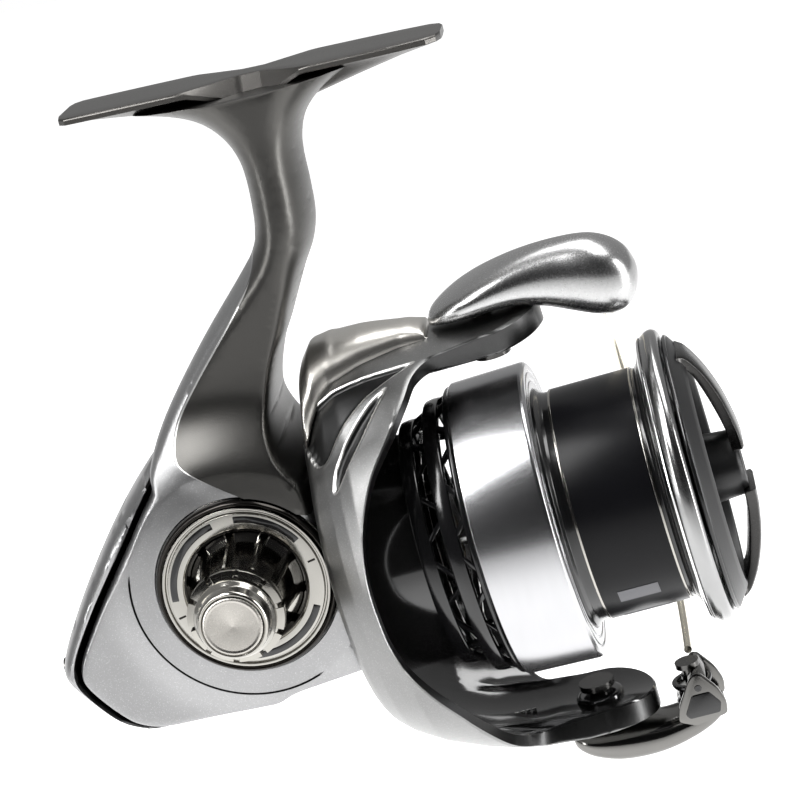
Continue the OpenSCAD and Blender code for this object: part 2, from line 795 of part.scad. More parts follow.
module clutch_sleeve() {
    color("silver") rig() disc(-1.8, 4.1, 5, 3.5 + gap);
}

module rotor_nut() {
    color("silver") rig() difference() {
        translate([6.7, 0, 0]) rotate([0, 90, 0]) cylinder(h = 3, r = 6.4, $fn = 6);
        disc(5, 11, 3.5 + gap);
    }
}

module nut_retainer() {
    color("silver") rig() {
        disc(9.8, 10.5, 7, 3.6);
        translate([6.7, 0, 8]) rotate([0, 90, 0]) cylinder(h = 3.6, r = 1.2, $fn = 24);
        translate([9.8, -1.4, 5]) cube([0.7, 2.8, 4.4]);
    }
}

module front_seal() {
    color("black") rig() disc(-5.7, -5.1, 14, 12.1);
}

// ---- bail ---------------------------------------------------------------

wire_radius = 0.6;
wire_reach = 38;
wire_half = 28.3;
wire_bend = 2.6;
wire_lean = 0.5;
wire_x = 38;
wire_slope = 0.025;
wire_rings = 40;
wire_sides = 8;

// Points of the bail wire: a rounded loop from one arm round the left side to the other.
function wire_point(i) =
    let (a = 4 + 172 * i / wire_rings,
         out = wire_reach * pow(sin(a), 2 / wire_bend),
         up = wire_half * sign(cos(a)) * pow(abs(cos(a)), 2 / wire_bend))
    [wire_x + wire_slope * up - out * sin(wire_lean), out * cos(wire_lean), up];

module bail_wire() {
    path = [for (i = [0:wire_rings]) wire_point(i)];
    side = [cos(wire_lean), sin(wire_lean), 0];
    points = [for (i = [0:wire_rings])
        let (ahead = path[min(i + 1, wire_rings)], back = path[max(i - 1, 0)],
             run = (ahead - back) / norm(ahead - back),
             up = cross(run, side) / norm(cross(run, side)))
        for (k = [0:wire_sides - 1])
            let (a = 360 * k / wire_sides)
            path[i] + wire_radius * (cos(a) * side + sin(a) * up)];
    faces = concat(
        [[for (k = [0:wire_sides - 1]) k]],
        [[for (k = [wire_sides - 1:-1:0]) wire_rings * wire_sides + k]],
        [for (i = [0:wire_rings - 1]) for (k = [0:wire_sides - 1])
            [i * wire_sides + k, (i + 1) * wire_sides + k,
             (i + 1) * wire_sides + (k + 1) % wire_sides, i * wire_sides + (k + 1) % wire_sides]]
    );
    color("tan") rig() polyhedron(points, faces);
}

bulb_x = 40;
bulb_z = 32.4;
module bail_lever() {
    color("silver") rig() difference() {
        union() {
            translate([pivot_x, 0, upper_outer + 0.3]) cylinder(h = 1.6, r = 7.6, $fn = 64);
            hull() {
                translate([pivot_x, 0, 34]) scale([1.2, 1, 0.34]) sphere(r = 6, $fn = 32);
                translate([32, 0, 35.5]) sphere(r = 3.3, $fn = 32);
            }
            hull() {
                translate([32, 0, 35.5]) sphere(r = 3.3, $fn = 32);
                translate([bulb_x, 0, bulb_z]) sphere(r = 6.2, $fn = 32);
            }
        }
        translate([pivot_x, 0, 30]) cylinder(h = 4.4, r = 1.5 + gap, $fn = 32);
        translate([wire_x + wire_slope * wire_half, 0, 26]) cylinder(h = 3.4, r = 1.9, $fn = 32);
    }
}

roller_x = 36.9;
arm_face = -lower_outer - 0.3;
module bail_arm() {
    color("dimgray") rig() difference() {
        union() {
            translate([pivot_x, 0, arm_face - 3.4]) cylinder(h = 3.4, r = 5.4, $fn = 64);
            flat_plate(concat(arc(pivot_x, 0, 4.8, 90, 270, 12), arc(roller_x, 0, 4, -90, 90, 12)),
                arm_face - 3.4, arm_face - 0.6);
            // lug that carries the end of the wire
            translate([roller_x, 0, -30.3]) cylinder(h = 1.7, r = 2.9, $fn = 48);
            flat_plate([
                [roller_x - 4.6, 3], [roller_x - 3, 4.9], [roller_x + 2, 4.9],
                [roller_x + 2, 3.5], [roller_x - 2.6, 3.5]
            ], arm_face - 1, -28.6);
            flat_plate([
                [roller_x - 2.4, 4.6], [roller_x + 1.6, 4.6], [roller_x + 1.6, 2], [roller_x - 2.4, 1]
            ], -30.3, -28.6);
        }
        translate([pivot_x, 0, -40]) cylinder(h = 8, r = 1.5 + gap, $fn = 32);
        translate([roller_x, 0, -40]) cylinder(h = 13, r = 1 + gap, $fn = 32);
    }
}

module bail_screws() {
    color("dimgray") rig() {
        translate([pivot_x, 0, 25.2]) cylinder(h = 9.1, r = 1.5, $fn = 32);
        translate([pivot_x, 0, 25]) cylinder(h = 0.95, r = 2.6, $fn = 32);
        translate([pivot_x, 0, -38.5]) cylinder(h = 10.9, r = 1.5, $fn = 32);
        translate([pivot_x, 0, -28.15]) cylinder(h = 0.95, r = 2.6, $fn = 32);
        translate([pivot_x, 0, -38.5]) cylinder(h = 0.97, r = 2.8, $fn = 32);
    }
}

module roller_screw() {
    color("silver") rig() {
        translate([roller_x, 0, -37.7]) cylinder(h = 9.6, r = 1, $fn = 32);
        translate([roller_x, 0, -28.57]) cylinder(h = 0.8, r = 1.8, $fn = 32);
    }
}

roller_base = -34.2;
module line_roller() {
    color("black") rig() translate([roller_x, 0, roller_base]) rotate_extrude($fn = 64)
        polygon([[2.1, 0], [3, 0], [3, 0.6], [2.5, 1.3], [2.5, 2.3], [3, 3], [3, 3.6], [2.1, 3.6]]);
}

module roller_bearing() {
    color("silver") rig() translate([roller_x, 0, roller_base + 0.6]) difference() {
        cylinder(h = 2.4, r = 2.08, $fn = 48);
        translate([0, 0, -1]) cylinder(h = 5, r = 1 + gap, $fn = 48);
    }
}

body_case();
rear_cover();
rear_cover_screws();
engine_plate();
plate_seal();
drive_bearing_right();
drive_bearing_left();
left_bearing_cap();
pinion_bearing();
pinion_bush();
clutch_ring();
clutch_rollers();
clutch_retainer();
retainer_screws();
guide_rod();
oscillation_axle();
front_seal();
drive_gear();
crank_cap();
cap_disc();
handle_shaft();
handle_arm();
knob_spindle();
handle_knob();
knob_cap();
knob_bushes();
oscillation_gear();
main_shaft();
slider();
slider_screws();
shaft_sleeve();
shaft_washer();
spool();
skirt_frame();
spool_lip();
arbor_wrap();
drag_felts();
drag_plates();
drag_retainer();
line_clip();
drag_knob();
knob_arches();
drag_nut();
drag_spring();
rotor();
pinion_gear();
rotor_nut();
nut_retainer();
clutch_sleeve();
arm_cover_upper();
arm_cover_lower();
bail_spring();
kick_lever();
bail_wire();
bail_lever();
bail_arm();
bail_screws();
roller_screw();
line_roller();
roller_bearing();
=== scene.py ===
import bpy
import bmesh
import json
import numpy as np
from math import asin, atan2, copysign, cos, degrees, hypot, pi, radians, sin
from mathutils import Matrix, Vector
from mathutils.geometry import delaunay_2d_cdt


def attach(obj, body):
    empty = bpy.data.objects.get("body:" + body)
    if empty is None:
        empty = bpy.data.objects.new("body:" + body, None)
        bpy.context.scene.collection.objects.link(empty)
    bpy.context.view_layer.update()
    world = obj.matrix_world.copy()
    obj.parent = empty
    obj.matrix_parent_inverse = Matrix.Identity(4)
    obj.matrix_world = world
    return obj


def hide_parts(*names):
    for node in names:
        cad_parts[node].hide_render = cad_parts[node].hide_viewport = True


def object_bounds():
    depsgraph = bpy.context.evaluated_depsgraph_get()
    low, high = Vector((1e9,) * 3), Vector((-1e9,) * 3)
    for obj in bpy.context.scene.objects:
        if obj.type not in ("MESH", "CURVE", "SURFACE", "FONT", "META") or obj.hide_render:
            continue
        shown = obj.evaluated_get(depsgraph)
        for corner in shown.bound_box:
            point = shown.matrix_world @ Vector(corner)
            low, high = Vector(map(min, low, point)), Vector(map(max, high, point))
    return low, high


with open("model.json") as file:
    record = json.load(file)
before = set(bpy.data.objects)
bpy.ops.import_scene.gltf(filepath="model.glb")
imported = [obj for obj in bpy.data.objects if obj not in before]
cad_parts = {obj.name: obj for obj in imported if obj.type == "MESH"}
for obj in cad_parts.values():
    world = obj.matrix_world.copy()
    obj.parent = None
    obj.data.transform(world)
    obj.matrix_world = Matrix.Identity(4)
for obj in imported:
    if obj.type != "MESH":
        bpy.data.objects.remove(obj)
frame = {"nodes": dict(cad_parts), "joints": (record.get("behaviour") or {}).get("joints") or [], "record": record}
cad_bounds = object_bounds()

NODES = frame["nodes"]
JOINTS = {j["name"]: j for j in frame["joints"]}
MM = 0.001

# The reel's own frame: x along the shaft to the nose, y to the handle side, z to the rod.
AXIS_X = Vector(JOINTS["rotor_spin"]["axis"]).normalized()
AXIS_Y = Vector((0, 1, 0))
AXIS_Z = AXIS_X.cross(AXIS_Y).normalized()
RIG = Matrix((AXIS_X, AXIS_Y, AXIS_Z)).transposed().to_4x4()
RIG.translation = Vector(JOINTS["rotor_spin"]["pos_m"])
TO_ROW = RIG @ Matrix.Scale(MM, 4)
FROM_ROW = TO_ROW.inverted()


def rig_point(x, y, z):
    return TO_ROW @ Vector((x, y, z))


def in_rig(p):
    return FROM_ROW @ Vector(p)


CRANK = in_rig(JOINTS["crank_turn"]["pos_m"])
PIVOT_X = in_rig(JOINTS["bail_swing"]["pos_m"]).x
ROLLER = in_rig(JOINTS["roller_spin"]["pos_m"])


# ---- shader and object tools -------------------------------------------------

def set_inputs(node, **inputs):
    """Sets a node's inputs by name, where an underscore stands for a space."""
    for key, value in inputs.items():
        node.inputs[key.replace("_", " ")].default_value = value
    return node


def add(tree, kind, **inputs):
    return set_inputs(tree.nodes.new("ShaderNode" + kind), **inputs)


def add_ramp(tree, low, low_colour, high, high_colour):
    node = add(tree, "ValToRGB")
    for stop, place, colour in zip(node.color_ramp.elements, (low, high), (low_colour, high_colour)):
        stop.position = place
        stop.color = colour
    return node


def new_material(name):
    mat = bpy.data.materials.new(name)
    mat.use_nodes = True
    return mat, mat.node_tree, mat.node_tree.nodes["Principled BSDF"]


def placed(name, data):
    obj = bpy.data.objects.new(name, data)
    bpy.context.scene.collection.objects.link(obj)
    return obj


# ---- camera, light and floor ------------------------------------------------

def make_camera():
    turn, rise, roll = radians(9.3), radians(15.5), radians(-18.1)
    back = Vector((sin(turn) * cos(rise), -cos(turn) * cos(rise), sin(rise)))
    right = (-back).cross(Vector((0, 0, 1))).normalized()
    up = right.cross(-back)
    right, up = (right * cos(roll) + up * sin(roll), up * cos(roll) - right * sin(roll))
    turned = RIG.to_3x3() @ Matrix((right, up, back)).transposed()
    data = bpy.data.cameras.new("camera")
    data.sensor_width = 36
    data.lens = 110.1
    data.clip_start = 0.01
    data.clip_end = 20
    camera = placed("camera", data)
    camera.matrix_world = turned.to_4x4()
    camera.matrix_world.translation = rig_point(8.5, 0, 22.2) + RIG.to_3x3() @ back * 0.35
    bpy.context.scene.camera = camera
    return right, up, back


VIEW_RIGHT, VIEW_UP, VIEW_BACK = make_camera()


def area_light(name, direction, distance, size, power):
    """A soft box that looks at the reel from a direction given as (right, up, back) of the view."""
    aim = rig_point(6, 0, 18)
    way = RIG.to_3x3() @ (VIEW_RIGHT * direction[0] + VIEW_UP * direction[1] + VIEW_BACK * direction[2])
    way.normalize()
    data = bpy.data.lights.new(name, "AREA")
    data.shape = "RECTANGLE"
    data.size, data.size_y = size
    data.energy = power
    light = placed(name, data)
    light.matrix_world = (-way).to_track_quat("-Z", "Y").to_matrix().to_4x4()
    light.matrix_world.translation = aim + way * distance


FLOOR_DROP = 0.16  # metres below the reel
FLOOR_HALF = 3.0


def make_stage():
    world = bpy.data.worlds.new("studio")
    bpy.context.scene.world = world
    world.use_nodes = True
    tree = world.node_tree
    tree.nodes.clear()
    out = add(tree, "OutputWorld")
    mix = add(tree, "MixShader")
    seen = add(tree, "Background", Color=(1, 1, 1, 1), Strength=1.0)
    lit = add(tree, "Background", Strength=0.42)
    # light from behind the reel is white, light from the viewer's side is dim, as in a light tent
    along = add(tree, "VectorMath")
    along.operation = "DOT_PRODUCT"
    behind = -(RIG.to_3x3() @ VIEW_BACK)
    along.inputs[1].default_value = (behind + Vector((0, 0, 0.55))).normalized()
    ramp = add_ramp(tree, 0.3, (0.05, 0.05, 0.052, 1), 0.72, (0.95, 0.95, 0.95, 1))
    half = add(tree, "MapRange", From_Min=-1, From_Max=1)
    link = tree.links.new
    link(add(tree, "TexCoord").outputs["Generated"], along.inputs[0])
    link(along.outputs["Value"], half.inputs["Value"])
    link(half.outputs["Result"], ramp.inputs["Fac"])
    link(ramp.outputs["Color"], lit.inputs["Color"])
    link(add(tree, "LightPath").outputs["Is Camera Ray"], mix.inputs["Fac"])
    link(lit.outputs["Background"], mix.inputs[1])
    link(seen.outputs["Background"], mix.inputs[2])
    link(mix.outputs["Shader"], out.inputs["Surface"])

    bpy.context.scene.view_settings.view_transform = "Standard"
    floor_z = cad_bounds[0][2] - FLOOR_DROP
    mesh = bpy.data.meshes.new("floor")
    corners = [(-FLOOR_HALF, -FLOOR_HALF), (FLOOR_HALF, -FLOOR_HALF), (FLOOR_HALF, FLOOR_HALF),
        (-FLOOR_HALF, FLOOR_HALF)]
    mesh.from_pydata([(x, y, floor_z) for x, y in corners], [], [(0, 1, 2, 3)])
    floor = placed("floor", mesh)
    pale, _, shader = new_material("pale_floor")
    set_inputs(shader, Base_Color=(0.93, 0.93, 0.93, 1), Roughness=0.8, Emission_Color=(1, 1, 1, 1),
        Emission_Strength=0.85)
    mesh.materials.append(pale)


make_stage()
area_light("key", (-0.75, 0.75, 0.75), 0.6, (0.2, 0.4), 3.4)
area_light("strip_left", (-1, 0.1, 0.35), 0.55, (0.08, 0.6), 1.8)
area_light("strip_right", (1, 0.25, 0.4), 0.55, (0.08, 0.5), 2.2)
area_light("top", (0.1, 1, 0.1), 0.6, (0.6, 0.25), 3.2)
area_light("under", (0.2, -1, 0.35), 0.6, (0.5, 0.15), 1.0)


# ---- materials ---------------------------------------------------------------

def mix_colours(tree, fac, a, b):
    node = add(tree, "Mix")
    node.data_type = "RGBA"
    for socket, value in ((node.inputs[0], fac), (node.inputs[6], a), (node.inputs[7], b)):
        if isinstance(value, (tuple, float, int)):
            socket.default_value = value
        else:
            tree.links.new(value, socket)
    return node.outputs[2]


M = {}


def surface(name, colour, rough, metallic=1.0, dark=0.75, light=1.15, grain=900.0, spread=0.06, bump=0.02,
        bump_scale=5000.0, flake=0.0, coat=0.0, stretch=None, aniso=0.0, around=None, extra=None, gleam=None):
    """A satin, polished or painted surface: colour that drifts, roughness that varies, fine bump, and flakes
    in metallic paint. stretch gives the grain a direction; around turns the highlight about an axis."""
    mat, tree, shader = new_material(name)
    link = tree.links.new
    place = add(tree, "TexCoord")
    where = place.outputs["Object"]
    if stretch:
        mapping = add(tree, "Mapping", Scale=stretch)
        link(where, mapping.inputs["Vector"])
        where = mapping.outputs["Vector"]
    broad = add(tree, "TexNoise", Scale=grain * 0.12, Detail=4.0, Roughness=0.6)
    fine = add(tree, "TexNoise", Scale=grain * 3, Detail=3.0, Roughness=0.7)
    link(where, broad.inputs["Vector"])
    link(where, fine.inputs["Vector"])
    low = tuple(c * dark for c in colour) + (1,)
    high = tuple(min(1, c * light) for c in colour) + (1,)
    tone = mix_colours(tree, broad.outputs["Fac"], low, high)
    if flake:
        cells = add(tree, "TexVoronoi", Scale=9000)
        link(where, cells.inputs["Vector"])
        ramp = add_ramp(tree, 0.72, (0, 0, 0, 1), 1.0, (flake, flake, flake, 1))
        link(cells.outputs["Color"], ramp.inputs["Fac"])
        glint = tuple(min(1, c * 2.2) for c in colour) + (1,)
        tone = mix_colours(tree, ramp.outputs["Color"], tone, glint)
    if extra:
        tone = extra(tree, tone)
    link(tone, shader.inputs["Base Color"])
    vary = add(tree, "MapRange", To_Min=max(0.02, rough - spread), To_Max=rough + spread)
    link(fine.outputs["Fac"], vary.inputs["Value"])
    link(vary.outputs["Result"], shader.inputs["Roughness"])
    shader.inputs["Metallic"].default_value = metallic
    if bump:
        small = add(tree, "TexNoise", Scale=bump_scale, Detail=2.0)
        link(where, small.inputs["Vector"])
        relief = add(tree, "Bump", Strength=min(1.0, bump * 8), Distance=0.00004)
        link(small.outputs["Fac"], relief.inputs["Height"])
        link(relief.outputs["Normal"], shader.inputs["Normal"])
    if coat:
        set_inputs(shader, Coat_Weight=coat, Coat_Roughness=0.08)
    if gleam is not None:
        shader.inputs["Specular IOR Level"].default_value = gleam
    if aniso:
        shader.inputs["Anisotropic"].default_value = aniso
        if around:
            tangent = add(tree, "Tangent")
            tangent.direction_type = "RADIAL"
            tangent.axis = around
            link(tangent.outputs["Tangent"], shader.inputs["Tangent"])
    M[name] = mat


def striped(stops):
    """Lays colours over a tone where a piece's named measure, in mm, is below a width, or above it."""
    def apply(tree, tone):
        for attribute, width, soft, colour, above in stops:
            source = add(tree, "Attribute")
            source.attribute_name = attribute
            fade = add(tree, "MapRange", From_Min=width - soft, From_Max=width + soft,
                To_Min=0 if above else 1, To_Max=1 if above else 0)
            tree.links.new(source.outputs["Fac"], fade.inputs["Value"])
            tone = mix_colours(tree, fade.outputs["Result"], tone, colour)
        return tone
    return apply


GRAPHITE = (0.08, 0.078, 0.074)
SILVER = (0.29, 0.29, 0.292)

# painted highlight: the pale stripe along the step line stands for light caught by the raised step's edge
# painted shade: the dark stripe at the side plate's seam stands for the shade inside the real groove there
surface("case_metal", SILVER, 0.36, dark=0.86, light=1.08, flake=0.35, bump=0.03,
    extra=striped([("two_tone", 0.0, 0.05, GRAPHITE + (1,), True),
    ("step_highlight", 0.13, 0.05, (0.75, 0.75, 0.74, 1), False), ("groove", 0.16, 0.05, (0.03, 0.03, 0.03, 1),
    False)]))
surface("foot_metal", (0.08, 0.077, 0.073), 0.33, dark=0.86, light=1.1, flake=0.25, bump=0.03)
# painted shade: the dark line along the rear cover's seam stands for the shade in the gap between cover and body
surface("tail_metal", (0.28, 0.28, 0.282), 0.3, dark=0.9, light=1.1, flake=0.3, bump=0.03,
    extra=striped([("seam_shade", 0.5, 0.1, (0.006, 0.006, 0.006, 1), False)]))
# painted highlight: the pale line round each leaf slot stands for light caught by its rim
# painted shade: the near black fill of the leaf slots stands for the shade inside them
surface("rotor_metal", (0.19, 0.19, 0.188), 0.34, dark=0.85, light=1.1, flake=0.4, bump=0.03,
    extra=striped([("leaf", 0.1, 0.06, (0.03, 0.03, 0.03, 1), True),
    ("leaf_rim_highlight", 0.16, 0.08, (0.72, 0.71, 0.69, 1), False)]))
surface("rotor_edge", (0.05, 0.05, 0.05), 0.3, dark=0.9, flake=0.2, bump=0.03)
surface("rotor_inner", (0.05, 0.05, 0.05), 0.12, metallic=0.85, dark=0.9, coat=0.5, bump=0.008)
surface("arm_cover_metal", (0.66, 0.64, 0.60), 0.3, flake=0.2)
surface("lever_metal", (0.42, 0.42, 0.42), 0.26, dark=0.92, light=1.05, flake=0.25, bump=0.02)
surface("dark_nickel", (0.16, 0.157, 0.15), 0.14, dark=0.9, light=1.05, spread=0.03, bump=0.01)
surface("wire_metal", (0.70, 0.66, 0.56), 0.2, dark=0.9, bump=0.01)
surface("nickel", (0.36, 0.35, 0.325), 0.15, dark=0.92, light=1.05, spread=0.03, bump=0.01)
surface("bowl_chrome", (0.03, 0.028, 0.026), 0.12, dark=0.8, spread=0.03, bump=0.01)
surface("cap_chrome", (0.32, 0.31, 0.285), 0.14, dark=0.9, spread=0.03, bump=0.01)
surface("spun_disc", (0.36, 0.345, 0.32), 0.28, dark=0.9, aniso=0.9, around="Y", bump=0.0)
surface("skirt_metal", (0.44, 0.44, 0.45), 0.17, dark=0.95, light=1.03, aniso=0.85, around="X", bump=0.0,
    stretch=(8, 1, 1))
surface("lip_metal", (0.3, 0.3, 0.3), 0.2, dark=0.9, light=1.05, aniso=0.6, around="X", bump=0.0)
surface("edge_line", (0.75, 0.75, 0.75), 0.14, dark=0.95, bump=0.0)
surface("gloss_black", (0.006, 0.006, 0.0065), 0.17, metallic=0.0, bump=0.01, gleam=0.6)
surface("satin_black", (0.008, 0.008, 0.0085), 0.38, metallic=0.0, bump=0.05, gleam=0.4)
surface("label_film", (0.004, 0.004, 0.005), 0.3, metallic=0.0, bump=0.01, gleam=0.15)
surface("arch_metal", (0.05, 0.049, 0.048), 0.26, flake=0.2, dark=0.7)
surface("grip_rubber", (0.018, 0.018, 0.018), 0.62, metallic=0.0, bump=0.12, bump_scale=2600)
surface("handle_metal", (0.28, 0.28, 0.282), 0.3, flake=0.3)
surface("bright_steel", (0.62, 0.62, 0.61), 0.18, aniso=0.5, bump=0.01)
surface("screw_steel", (0.10, 0.098, 0.095), 0.24, bump=0.03)
surface("gear_brass", (0.72, 0.52, 0.24), 0.26, bump=0.02)
surface("gear_alloy", (0.62, 0.62, 0.60), 0.32, bump=0.03)
surface("nylon", (0.70, 0.68, 0.60), 0.5, metallic=0.0, bump=0.04)
surface("seal_rubber", (0.02, 0.02, 0.02), 0.7, metallic=0.0, bump=0.06)
surface("drag_felt", (0.42, 0.36, 0.27), 0.9, metallic=0.0, bump=0.12, bump_scale=1800)
surface("label_tape", (0.09, 0.09, 0.1), 0.3, metallic=0.0, bump=0.02)


# ---- mesh tools ----------------------------------------------------------------

def rounded(points, radius, steps=4):
    """A closed outline with its corners rounded. A point may carry its own radius as a third number."""
    out = []
    n = len(points)
    for i in range(n):
        p = Vector(points[i][:2])
        a = Vector(points[i - 1][:2])
        b = Vector(points[(i + 1) % n][:2])
        r = points[i][2] if len(points[i]) > 2 else radius
        da, db = (a - p), (b - p)
        la, lb = da.length, db.length
        if r <= 0 or la < 1e-6 or lb < 1e-6:
            out.append((p.x, p.y))
            continue
        cut = min(r, 0.45 * la, 0.45 * lb)
        s, e = p + da / la * cut, p + db / lb * cut
        for k in range(steps + 1):
            t = k / steps
            q = s * (1 - t) ** 2 + p * 2 * t * (1 - t) + e * t * t
            out.append((q.x, q.y))
    return out


def smooth_open(points, steps=6):
    """Catmull-Rom points through an open line, of any dimension."""
    pts = [np.array(p, float) for p in points]
    pts = [2 * pts[0] - pts[1]] + pts + [2 * pts[-1] - pts[-2]]
    out = []
    for i in range(1, len(pts) - 2):
        p0, p1, p2, p3 = pts[i - 1:i + 3]
        for k in range(steps):
            t = k / steps
            out.append(0.5 * (2 * p1 + (p2 - p0) * t + (2 * p0 - 5 * p1 + 4 * p2 - p3) * t * t
                + (3 * p1 - p0 - 3 * p2 + p3) * t ** 3))
    out.append(pts[-2])
    return out


def make_object(name, mesh, body, nodes):
    obj = placed(name, mesh)
    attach(obj, body)
    if nodes:
        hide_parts(*nodes)
    return obj


def bake_modifiers(obj):
    deps = bpy.context.evaluated_depsgraph_get()
    mesh = bpy.data.meshes.new_from_object(obj.evaluated_get(deps))
    obj.modifiers.clear()
    old = obj.data
    obj.data = mesh
    bpy.data.meshes.remove(old)


def shade(mesh, sharp):
    """Smooth faces, with sharp edges above an angle in degrees."""
    for polygon in mesh.polygons:
        polygon.use_smooth = True
    mesh.set_sharp_from_angle(angle=radians(sharp))


def tidy_mesh(mesh, sharp, merge):
    bm = bmesh.new()
    bm.from_mesh(mesh)
    bmesh.ops.remove_doubles(bm, verts=bm.verts, dist=merge)
    bmesh.ops.dissolve_degenerate(bm, dist=merge, edges=bm.edges)
    bmesh.ops.recalc_face_normals(bm, faces=bm.faces)
    bm.to_mesh(mesh)
    bm.free()
    shade(mesh, sharp)


def build(name, verts, faces, body, material, nodes=(), sharp=40.0, bevel=0.0, segments=2,
        limit=35.0, subsurf=0, merge=2e-6):
    """One piece from points in the reel's own frame, in mm."""
    mesh = bpy.data.meshes.new(name)
    mesh.from_pydata([tuple(TO_ROW @ Vector(v)) for v in verts], [], faces)
    tidy_mesh(mesh, sharp, merge)
    for key in (material if isinstance(material, list) else [material]):
        mesh.materials.append(M[key])
    obj = make_object(name, mesh, body, nodes)
    if bevel:
        mod = obj.modifiers.new("bevel", "BEVEL")
        mod.width = bevel * MM
        mod.segments = segments
        mod.limit_method = "ANGLE"
        mod.angle_limit = radians(limit)
        mod.harden_normals = False
    if subsurf:
        mod = obj.modifiers.new("subsurf", "SUBSURF")
        mod.levels = mod.render_levels = subsurf
    if bevel or subsurf:
        bake_modifiers(obj)
        shade(obj.data, sharp)
    return obj


def ring_faces(rows, columns, closed_rows=True):
    faces = []
    for i in range(rows if closed_rows else rows - 1):
        for k in range(columns):
            a, b = i * columns + k, i * columns + (k + 1) % columns
            c, d = (i + 1) % rows * columns + (k + 1) % columns, (i + 1) % rows * columns + k
            faces.append((a, b, c, d))
    return faces


def tube_faces(rows, columns):
    """Faces of a tube of rings with both its ends closed."""
    ends = [tuple(range(columns)), tuple(range((rows - 1) * columns, rows * columns))]
    return ring_faces(rows, columns, closed_rows=False) + ends


def turned_points(profile, steps, axis, centre, wave):
    """Points of a solid of revolution. profile is a closed outline of (place along the axis, radius)."""
    verts = []
    for i in range(steps):
        a = 2 * pi * i / steps
        for k, (along, r) in enumerate(profile):
            if wave:
                along, r = wave(a, k, along, r)
            if axis == "x":
                verts.append((along, r * sin(a) + centre[0], r * cos(a) + centre[1]))
            elif axis == "y":
                verts.append((centre[0] + r * cos(a), along, centre[1] + r * sin(a)))
            else:
                verts.append((centre[0] + r * cos(a), centre[1] + r * sin(a), along))
    return verts


def turned(name, profile, body, slot_name, material, nodes=(), axis="x", centre=(0, 0), steps=192, soft=0.12,
        corner=3, wave=None, sharp=40.0):
    profile = rounded(profile, soft, corner) if soft else [p[:2] for p in profile]
    verts = turned_points(profile, steps, axis, centre, wave)
    build(name, verts, ring_faces(steps, len(profile)), body, material, nodes, sharp)


def prism(name, outline, low, high, body, material, bevel):
    """A plate across y, from its outline in x and z."""
    n = len(outline)
    verts = [(x, y, z) for y in (low, high) for x, z in outline]
    faces = [tuple(range(n)), tuple(range(2 * n - 1, n - 1, -1))]
    faces += [(k, k + n, (k + 1) % n + n, (k + 1) % n) for k in range(n)]
    build(name, verts, faces, body, material, bevel=bevel)


def softened(name, nodes, voxel, rounds, body, material):
    """A copy of CAD solids with their facets melted into one flowing surface."""
    bm = bmesh.new()
    for n in nodes:
        bm.from_mesh(NODES[n].data)
    mesh = bpy.data.meshes.new(name)
    bm.to_mesh(mesh)
    bm.free()
    mesh.materials.clear()
    mesh.materials.append(M[material])
    tidy_mesh(mesh, 30, 1e-7)
    obj = make_object(name, mesh, body, nodes)
    mod = obj.modifiers.new("remesh", "REMESH")
    mod.mode = "VOXEL"
    mod.voxel_size = voxel * MM
    mod.adaptivity = 0
    mod = obj.modifiers.new("smooth", "SMOOTH")
    mod.factor = 0.5
    mod.iterations = rounds
    bake_modifiers(obj)
    shade(obj.data, 60)


def rig_coordinates(obj):
    co = np.empty(len(obj.data.vertices) * 3)
    obj.data.vertices.foreach_get("co", co)
    co = co.reshape(-1, 3)
    m = np.array(FROM_ROW)
    return co @ m[:3, :3].T + m[:3, 3]


def set_measure(obj, name, values):
    attribute = obj.data.attributes.new(name, "FLOAT", "POINT")
    attribute.data.foreach_set("value", np.asarray(values, np.float32))


def line_distance(points, line, closed=False):
    """Distance in mm from 2-D points to a line."""
    line = np.asarray(line, float)
    ends = np.roll(line, -1, 0) if closed else line[1:]
    starts = line if closed else line[:-1]
    best = np.full(len(points), 1e9)
    for s, e in zip(starts, ends):
        d = e - s
        t = np.clip(((points - s) @ d) / max(d @ d, 1e-12), 0, 1)
        best = np.minimum(best, np.linalg.norm(points - (s + t[:, None] * d), axis=1))
    return best


def inside_outline(points, outline):
    outline = np.asarray(outline, float)
    x, y = points[:, 0], points[:, 1]
    inside = np.zeros(len(points), bool)
    j = len(outline) - 1
    for i in range(len(outline)):
        (xi, yi), (xj, yj) = outline[i], outline[j]
        if yi != yj:
            inside ^= ((yi > y) != (yj > y)) & (x < (xj - xi) * (y - yi) / (yj - yi) + xi)
        j = i
    return inside


def push(obj, amounts):
    """Moves each vertex along its normal by an amount in mm."""
    normals = np.empty(len(obj.data.vertices) * 3)
    obj.data.vertex_normals.foreach_get("vector", normals)
    co = np.empty_like(normals)
    obj.data.vertices.foreach_get("co", co)
    co += (normals.reshape(-1, 3) * np.asarray(amounts)[:, None] * MM).ravel()
    obj.data.vertices.foreach_set("co", co)
    obj.data.update()


def smooth_step(x, low, high):
    t = np.clip((x - low) / (high - low), 0, 1)
    return t * t * (3 - 2 * t)


# ---- body, stem and foot ---------------------------------------------------------

STEP_LINE = [(-3.6, 51.6), (-4.9, 47.2), (-9.4, 42.2), (-16.1, 35.8), (-20.1, 31.6), (-21.7, 29),
    (-22.3, 26.3), (-21.4, 24.5), (-17.9, 21.6), (-13.1, 17.9), (-7.1, 14.2), (3.5, 10.5)]
STEM_REAR = [(-27.6, 22.4), (-27.3, 25.2), (-23.9, 30.4), (-16.3, 38.4), (-7.5, 46.5), (-4.7, 49.4),
    (-3.2, 52.5), (-2.5, 56), (-2.1, 60), (-2.3, 63), (-3.5, 66), (-5.8, 68.6), (-9.5, 70.6), (-15, 72.4)]
STEM_FRONT = [(18, 70.6), (14.8, 69.7), (11.4, 68.2), (8.6, 65.9), (7, 63), (6.3, 60), (5.9, 56), (5.2, 51.5),
    (3.8, 48.1), (1.6, 45), (-0.5, 41.8), (-3, 37.9), (-5.2, 34.7), (-7.4, 30), (-8.4, 26.5), (-8.2, 23.2),
    (-7.2, 20.6), (-6, 18.4), (-5.6, 15)]
